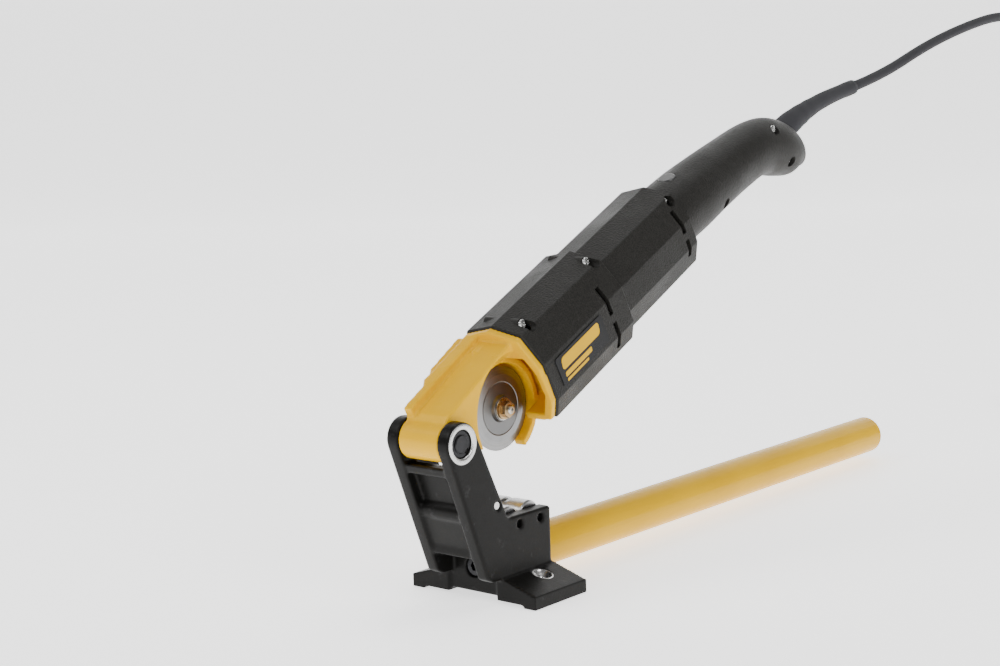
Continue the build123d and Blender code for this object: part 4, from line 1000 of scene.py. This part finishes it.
class Label:
    """Side panel with plain printed bars in place of any name, all in millimetres.

    Attributes:
        flat_top: Distance to the near side and height of the panel's upper edge.
        flat_bottom: The same for its lower edge.
        middle_u: Distance of its middle from the hinge along the motor axis.
        print_root: How far out of the flat the back of a bar lies.
        print_base: How far out of the flat its print begins.
        print_thickness: Thickness of the print.
        corner: Radius of a bar's corners, as a share of its height.
        corner_steps: Steps round a corner.
        bars: The bars.
    """

    flat_top = (28.6, 4.0)
    flat_bottom = (29.4, -19.0)
    middle_u = 100.0
    print_root = 0.5
    print_base = 0.52
    print_thickness = 0.12
    corner = 0.3
    corner_steps = 4
    bars = (
        LabelBar(-0.5, 3.3, 37.0, 7.0, 1.4),
        LabelBar(-6.0, -3.3, 26.0, 2.8, 0.6),
        LabelBar(-8.5, -6.6, 21.0, 1.5, 0.4),
    )

    def on_panel(self, along: float, up: float, out: float) -> Vector:
        """Place of a point on the panel, in the row frame."""
        (top_x, top_v), (low_x, low_v) = self.flat_top, self.flat_bottom
        length = hypot(top_x - low_x, top_v - low_v)
        rise = ((top_x - low_x) / length, (top_v - low_v) / length)
        normal = (rise[1], -rise[0])
        x = (top_x + low_x) / 2 + rise[0] * up + normal[0] * out
        v = (top_v + low_v) / 2 + rise[1] * up + normal[1] * out
        return drive_point(x, self.middle_u + along, v)

    def outline(self, bar: LabelBar) -> list[tuple[float, float]]:
        """Outline of a bar with rounded corners."""
        corner = self.corner * bar.height
        points: list[tuple[float, float]] = []
        for quarter in range(4):
            side = 1 if quarter in (0, 3) else -1
            upper = 1 if quarter in (0, 1) else -1
            for step in range(self.corner_steps + 1):
                turn = pi / 2 * (quarter + step / self.corner_steps)
                up = upper * (bar.height / 2 - corner) + corner * sin(turn)
                along = side * (bar.length / 2 - corner) + corner * cos(turn)
                points.append((bar.along + along + bar.lean * up / bar.height, bar.up + up))
        return points

    def build(self) -> None:
        """Makes the bars and dresses the panel."""
        dress("label_panel", Finish.PANEL)
        face_out = self.print_base + self.print_thickness
        for number, bar in enumerate(self.bars, start=1):
            outline = self.outline(bar)
            count = len(outline)
            points = [self.on_panel(along, up, self.print_root) for along, up in outline]
            points += [self.on_panel(along, up, face_out) for along, up in outline]
            faces = [(i, (i + 1) % count, count + (i + 1) % count, count + i) for i in range(count)]
            faces += [tuple(range(count)), tuple(range(count, 2 * count))]
            mesh = mesh_from(f"print_bar_{number}", points, faces)
            for face in mesh.polygons:
                face.use_smooth = False
            new_piece(f"print_bar_{number}", mesh, Finish.PRINT, "drive")


class Boot:
    """Rubber sleeve that guides the cord out of the handle.

    Attributes:
        route: Its middle line: distance along the motor axis and height, in millimetres.
        sleeve: Its radius in millimetres at shares of its length.
        around: Points round it.
    """

    route = (
        (366.0, -20.9),
        (378.0, -21.1),
        (397.0, -22.4),
        (412.0, -24.2),
        (430.0, -27.6),
        (450.0, -32.6),
        (470.0, -38.4),
    )
    sleeve = (
        (0.0, 7.9),
        (0.18, 7.8),
        (0.32, 7.0),
        (0.46, 6.2),
        (0.62, 5.5),
        (0.93, 4.95),
        (0.955, 5.15),
        (1.0, 5.05),
    )
    around = 40

    def radius(self, share: float) -> float:
        """Radius of the sleeve at a share of its length, in millimetres."""
        for (start, first), (end, second) in zip(self.sleeve, self.sleeve[1:]):
            if share <= end:
                part = (share - start) / (end - start)
                ease = part * part * (3 - 2 * part)
                return first + (second - first) * ease
        return self.sleeve[-1][1]

    def build(self) -> bpy.types.Object:
        """Makes the boot as one closed tube and lets it stand for its node."""
        line = smooth_line("boot_line", [drive_point(0.0, u, v) for u, v in self.route])
        count = len(line) - 1
        radii = [self.radius(index / count) * MM for index in range(count + 1)]
        mesh = tube_mesh("boot", line, radii, self.around)
        piece = new_piece("cord_boot_sleeve", mesh, Finish.RUBBER, "drive")
        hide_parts("cord_boot")
        return piece


class Drive:
    """Drive unit: gear housing, cutter wheel, motor, housing, handle and boot.

    Attributes:
        inner: The finish of each piece inside it.
    """

    inner = {
        "hinge_bushes": Finish.BRONZE,
        "spindle_bush_near": Finish.BRONZE,
        "spindle_bush_far": Finish.BRONZE,
        "cutter_spindle": Finish.BRIGHT,
        "crown_gear": Finish.GEAR,
        "first_gear": Finish.GEAR,
        "second_gear": Finish.GEAR,
        "motor_pinion": Finish.GEAR,
        "bearing_plate": Finish.YELLOW_CAST,
        "rear_bearing_frame": Finish.PALE,
        "motor_bearing_front": Finish.BRIGHT,
        "motor_bearing_rear": Finish.BRIGHT,
        "stator_core": Finish.SHEETS,
        "stator_coils": Finish.WINDING,
        "rotor_shaft": Finish.BRIGHT,
        "armature_core": Finish.SHEETS,
        "armature_windings": Finish.WINDING,
        "commutator": Finish.BRASS,
        "cooling_fan": Finish.PALE,
        "carbon_brushes": Finish.CARBON,
        "brush_holders": Finish.BRASS,
        "switch_body": Finish.CASE,
        "switch_spring": Finish.BRIGHT,
        "interference_capacitor": Finish.CASE,
        "terminal_block": Finish.PALE,
        "cord_clamp": Finish.CASE,
    }

    def build(self) -> None:
        """Makes the drive's own pieces and dresses its CAD pieces."""
        casting = Casting("gear_housing", voxel=0.0007, rounds=3, tilt=DRIVE_TILT)
        casting.build(Finish.YELLOW_CAST, "drive", "yellow_casting")
        for node, finish in self.inner.items():
            dress(node, finish)
        for node in ("housing_shell_near", "housing_shell_far"):
            dress(node, Finish.HOUSING)
        dress("cutter_wheel", Finish.WHEEL)
        dress("wheel_washer", Finish.BRIGHT)
        dress("wheel_nut", Finish.BRASS)
        dress("safety_button", Finish.BUTTON)
        Label().build()
        ScrewHeads().build()
        Boot().build()


# ------------------------------------------------------------------ mains lead


def smooth_line(name: str, points: Sequence[Vector]) -> list[Vector]:
    """Points along the NURBS spline that has the given points as its controls.

    Args:
        name: Name of the curve.
        points: Control points, in the row frame.

    Returns:
        Evenly stepped points of the smooth line.
    """
    curve = bpy.data.curves.new(name, "CURVE")
    curve.dimensions = "3D"
    curve.resolution_u = 10
    spline = curve.splines.new("NURBS")
    spline.points.add(len(points) - 1)
    for slot, point in zip(spline.points, points):
        slot.co = (*point, 1.0)
    spline.order_u = 3
    spline.use_endpoint_u = True
    holder = bpy.data.objects.new(name, curve)
    bpy.context.scene.collection.objects.link(holder)
    mesh = baked(holder)
    line = [vertex.co.copy() for vertex in mesh.vertices]
    bpy.data.objects.remove(holder)
    return line


@dataclass(frozen=True)
class CoilSizes:
    """Sizes of the put-away coil, in millimetres.

    Attributes:
        centre: Its middle on the bench.
        outer_turn: Radius of its outermost turn.
        inner_turn: Radius of its innermost turn.
        step: Distance between turns side by side.
        low: Height of the cord's middle in the lower layer.
        lift: Height of the upper layer above it.
        turns: Turns in all.
        lower_turns: Turns after which the cord starts to climb.
        upper_turns: Turns after which it lies in the upper layer.
        points_per_turn: Control points in a turn.
        skipped: First control points, which the seen run stands for.
    """

    centre: tuple[float, float] = (43.7, 656.0)
    outer_turn: float = 46.0
    inner_turn: float = 31.6
    step: float = 7.2
    low: float = 3.6
    lift: float = 8.0
    turns: float = 5.5
    lower_turns: float = 2.0
    upper_turns: float = 3.0
    points_per_turn: int = 16
    skipped: int = 3


class MainsLead:
    """Mains cord from the boot to its plug, with the unseen length coiled on the bench.

    Attributes:
        radius: Radius of the cord, in millimetres.
        around: Points round it.
        seen_route: Control points from the boot to the coil, in millimetres.
        tail_route: Control points from the coil to the plug, in millimetres.
        settled_by: From the cord's start to where it no longer follows the drive, in metres; not
            used.
    """

    radius = 3.5
    around = 20
    seen_route = (
        (0.0, 385.415, 263.547),
        (0.0, 426.8, 270.7),
        (0.0, 494.0, 291.0),
        (0.3, 556.0, 304.5),
        (0.0, 614.0, 313.0),
        (-1.0, 664.0, 310.0),
        (-2.5, 706.0, 288.0),
        (-4.5, 733.0, 250.0),
        (-6.5, 744.0, 200.0),
        (-8.5, 747.0, 148.0),
        (-10.0, 746.0, 98.0),
        (-11.0, 740.0, 52.0),
        (-11.4, 722.0, 18.0),
        (-11.0, 694.0, 4.4),
        (-8.0, 668.0, 3.6),
    )
    tail_route = ((94.3, 668.0, 11.0), (93.0, 680.0, 9.0), (91.8, 690.2, 7.0))
    settled_by = (0.0, 0.19, -0.16)

    def __init__(self, coil: CoilSizes = CoilSizes()) -> None:
        self.coil = coil

    def coil_point(self, turns: float) -> Point:
        """Place on the coil after a number of turns, in millimetres."""
        coil = self.coil
        part = turns % 1.0
        if turns < coil.lower_turns:
            radius = coil.outer_turn - coil.step * turns
            height = coil.low
        elif turns < coil.upper_turns:
            below = coil.inner_turn + coil.step * (1.0 - part)
            radius = below - coil.step * cos(pi / 2 * part)
            height = coil.low + coil.lift * sin(pi / 2 * part)
        else:
            upper = turns - coil.upper_turns - part + sin(pi / 2 * part)
            radius = coil.inner_turn + coil.step * upper
            height = coil.low + coil.lift
        angle = pi + 2 * pi * turns
        x, y = coil.centre
        return (x + radius * cos(angle), y + radius * sin(angle), height)

    def route(self) -> list[Vector]:
        """Control points of the whole cord, in the row frame."""
        coil = self.coil
        count = int(coil.turns * coil.points_per_turn)
        steps = range(coil.skipped, count + 1)
        wound = [self.coil_point(step / coil.points_per_turn) for step in steps]
        points = [*self.seen_route, *wound, *self.tail_route]
        return [Vector(point) * MM for point in points]

    def build(self) -> bpy.types.Object:
        line = smooth_line("cord_line", self.route())
        mesh = tube_mesh("mains_lead", line, [self.radius * MM] * len(line), self.around)
        piece = new_piece("mains_lead", mesh, Finish.RUBBER, None)
        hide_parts("mains_cord", "cord_coil", "cord_tail")
        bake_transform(piece)
        dress("plug_body", Finish.RUBBER)
        dress("plug_pins", Finish.BRIGHT)
        2 * self.radius * MM
        return piece


# ------------------------------------------------------------------ studio


@dataclass(frozen=True)
class CameraSizes:
    """Where the camera stands and how it looks.

    Attributes:
        position: Its place, in metres.
        azimuth: Its turn about the vertical, in degrees.
        elevation: How far it looks down, in degrees.
        roll: Its turn about its own line of sight, in degrees.
        lens: Focal length, in millimetres.
        sensor: Width of the sensor, in millimetres.
        near: Nearest distance it sees, in metres.
        far: Farthest distance it sees, in metres.
    """

    position: Point = (0.64803, -0.75274, 0.28112)
    azimuth: float = 40.574
    elevation: float = 7.989
    roll: float = 1.906
    lens: float = 66.62
    sensor: float = 36.0
    near: float = 0.05
    far: float = 20.0


@dataclass(frozen=True)
class Lamp:
    """One round soft light.

    Attributes:
        name: Its name.
        place: Where it stands, in metres.
        aim: The point it faces, in metres.
        size: Its diameter, in metres.
        power: Its power, in watts.
    """

    name: str
    place: Point
    aim: Point
    size: float
    power: float


@dataclass(frozen=True)
class FloorSizes:
    """Sizes of the floor and its far wall, in metres, from the origin along the camera's view.

    Attributes:
        near: Where the floor begins, behind the camera.
        flat_end: Where it starts to curve up, beyond the tool.
        bend: Radius of that curve.
        bend_steps: Facets of the curve.
        top: Height of the far wall.
        half_width: Half the width of both.
        sunk: How far the floor lies below the tool's feet.
    """

    near: float = -3.0
    flat_end: float = 2.6
    bend: float = 1.2
    bend_steps: int = 12
    top: float = 4.0
    half_width: float = 6.0
    sunk: float = 0.0002


class Studio:
    """Camera, soft lights and a pale floor.

    Attributes:
        lights: The lights.
        world_strength: Strength of the world's even glow.
    """

    lights = (
        Lamp("key_light", (-1.0, -1.2, 1.7), (0.0, 0.15, 0.12), 1.0, 20.0),
        Lamp("side_light", (1.7, -0.2, 1.0), (0.0, 0.15, 0.12), 0.8, 13.0),
        Lamp("top_light", (0.1, 0.6, 2.2), (0.0, 0.2, 0.1), 1.4, 20.0),
        Lamp("front_light", (0.6, -2.0, 0.6), (0.0, 0.0, 0.1), 0.7, 6.0),
    )
    world_strength = 0.2

    def __init__(
        self,
        sizes: CameraSizes = CameraSizes(),
        ground: FloorSizes = FloorSizes(),
    ) -> None:
        self.sizes = sizes
        self.ground = ground

    def camera(self) -> None:
        """Places the camera."""
        sizes = self.sizes
        turn, drop, roll = radians(sizes.azimuth), radians(sizes.elevation), radians(sizes.roll)
        forward = Vector((-sin(turn) * cos(drop), cos(turn) * cos(drop), -sin(drop)))
        level = Vector((cos(turn), sin(turn), 0.0))
        down = forward.cross(level)
        right = level * cos(roll) + down * sin(roll)
        lower = down * cos(roll) - level * sin(roll)
        lens = bpy.data.cameras.new("camera")
        lens.sensor_width = sizes.sensor
        lens.lens = sizes.lens
        lens.clip_start = sizes.near
        lens.clip_end = sizes.far
        eye = bpy.data.objects.new("camera", lens)
        bpy.context.scene.collection.objects.link(eye)
        pose = Matrix((right, -lower, -forward)).transposed().to_4x4()
        eye.matrix_world = Matrix.Translation(sizes.position) @ pose
        bpy.context.scene.camera = eye

    def light(self) -> None:
        """Adds the lights and the world's soft glow."""
        for lamp in self.lights:
            light = bpy.data.lights.new(lamp.name, "AREA")
            light.shape = "DISK"
            light.size = lamp.size
            light.energy = lamp.power
            holder = bpy.data.objects.new(lamp.name, light)
            bpy.context.scene.collection.objects.link(holder)
            holder.location = lamp.place
            heading = Vector(lamp.aim) - Vector(lamp.place)
            holder.rotation_euler = heading.to_track_quat("-Z", "Y").to_euler()
        world = bpy.data.worlds.new("studio")
        world.use_nodes = True
        glow = world.node_tree.nodes["Background"]
        glow.inputs["Color"].default_value = (1.0, 1.0, 1.0, 1.0)
        glow.inputs["Strength"].default_value = self.world_strength
        bpy.context.scene.world = world

    def floor(self) -> None:
        """Adds the floor, which curves up into a far wall."""
        sizes = self.ground
        profile = [(sizes.near, 0.0), (sizes.flat_end, 0.0)]
        for step in range(1, sizes.bend_steps + 1):
            turn = pi / 2 * step / sizes.bend_steps
            far = sizes.flat_end + sizes.bend * sin(turn)
            profile.append((far, sizes.bend - sizes.bend * cos(turn)))
        profile.append((sizes.flat_end + sizes.bend, sizes.top))
        azimuth = radians(self.sizes.azimuth)
        across = Vector((cos(azimuth), sin(azimuth), 0.0))
        ahead = Vector((-across.y, across.x, 0.0))
        level = Vector((0.0, 0.0, -sizes.sunk))
        points = [
            level + ahead * far + Vector((0.0, 0.0, up)) + across * side
            for far, up in profile
            for side in (-sizes.half_width, sizes.half_width)
        ]
        faces = [(2 * i, 2 * i + 1, 2 * i + 3, 2 * i + 2) for i in range(len(profile) - 1)]
        mesh = bpy.data.meshes.new("studio_floor")
        mesh.from_pydata([tuple(point) for point in points], [], faces)
        for face in mesh.polygons:
            face.use_smooth = True
        mesh.materials.append(PaleFloor().build())
        ground = bpy.data.objects.new("studio_floor", mesh)
        bpy.context.scene.collection.objects.link(ground)

    def build(self) -> None:
        """Makes the whole studio."""
        self.camera()
        self.light()
        self.floor()


def main() -> None:
    """Builds the tool and its studio."""
    logging.basicConfig(level=logging.INFO, format="%(message)s")
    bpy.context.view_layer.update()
    for part in (Studio(), Base(), Drive(), MainsLead()):
        part.build()
        LOG.info("built %s", type(part).__name__)


if __name__ == "__main__":
    main()
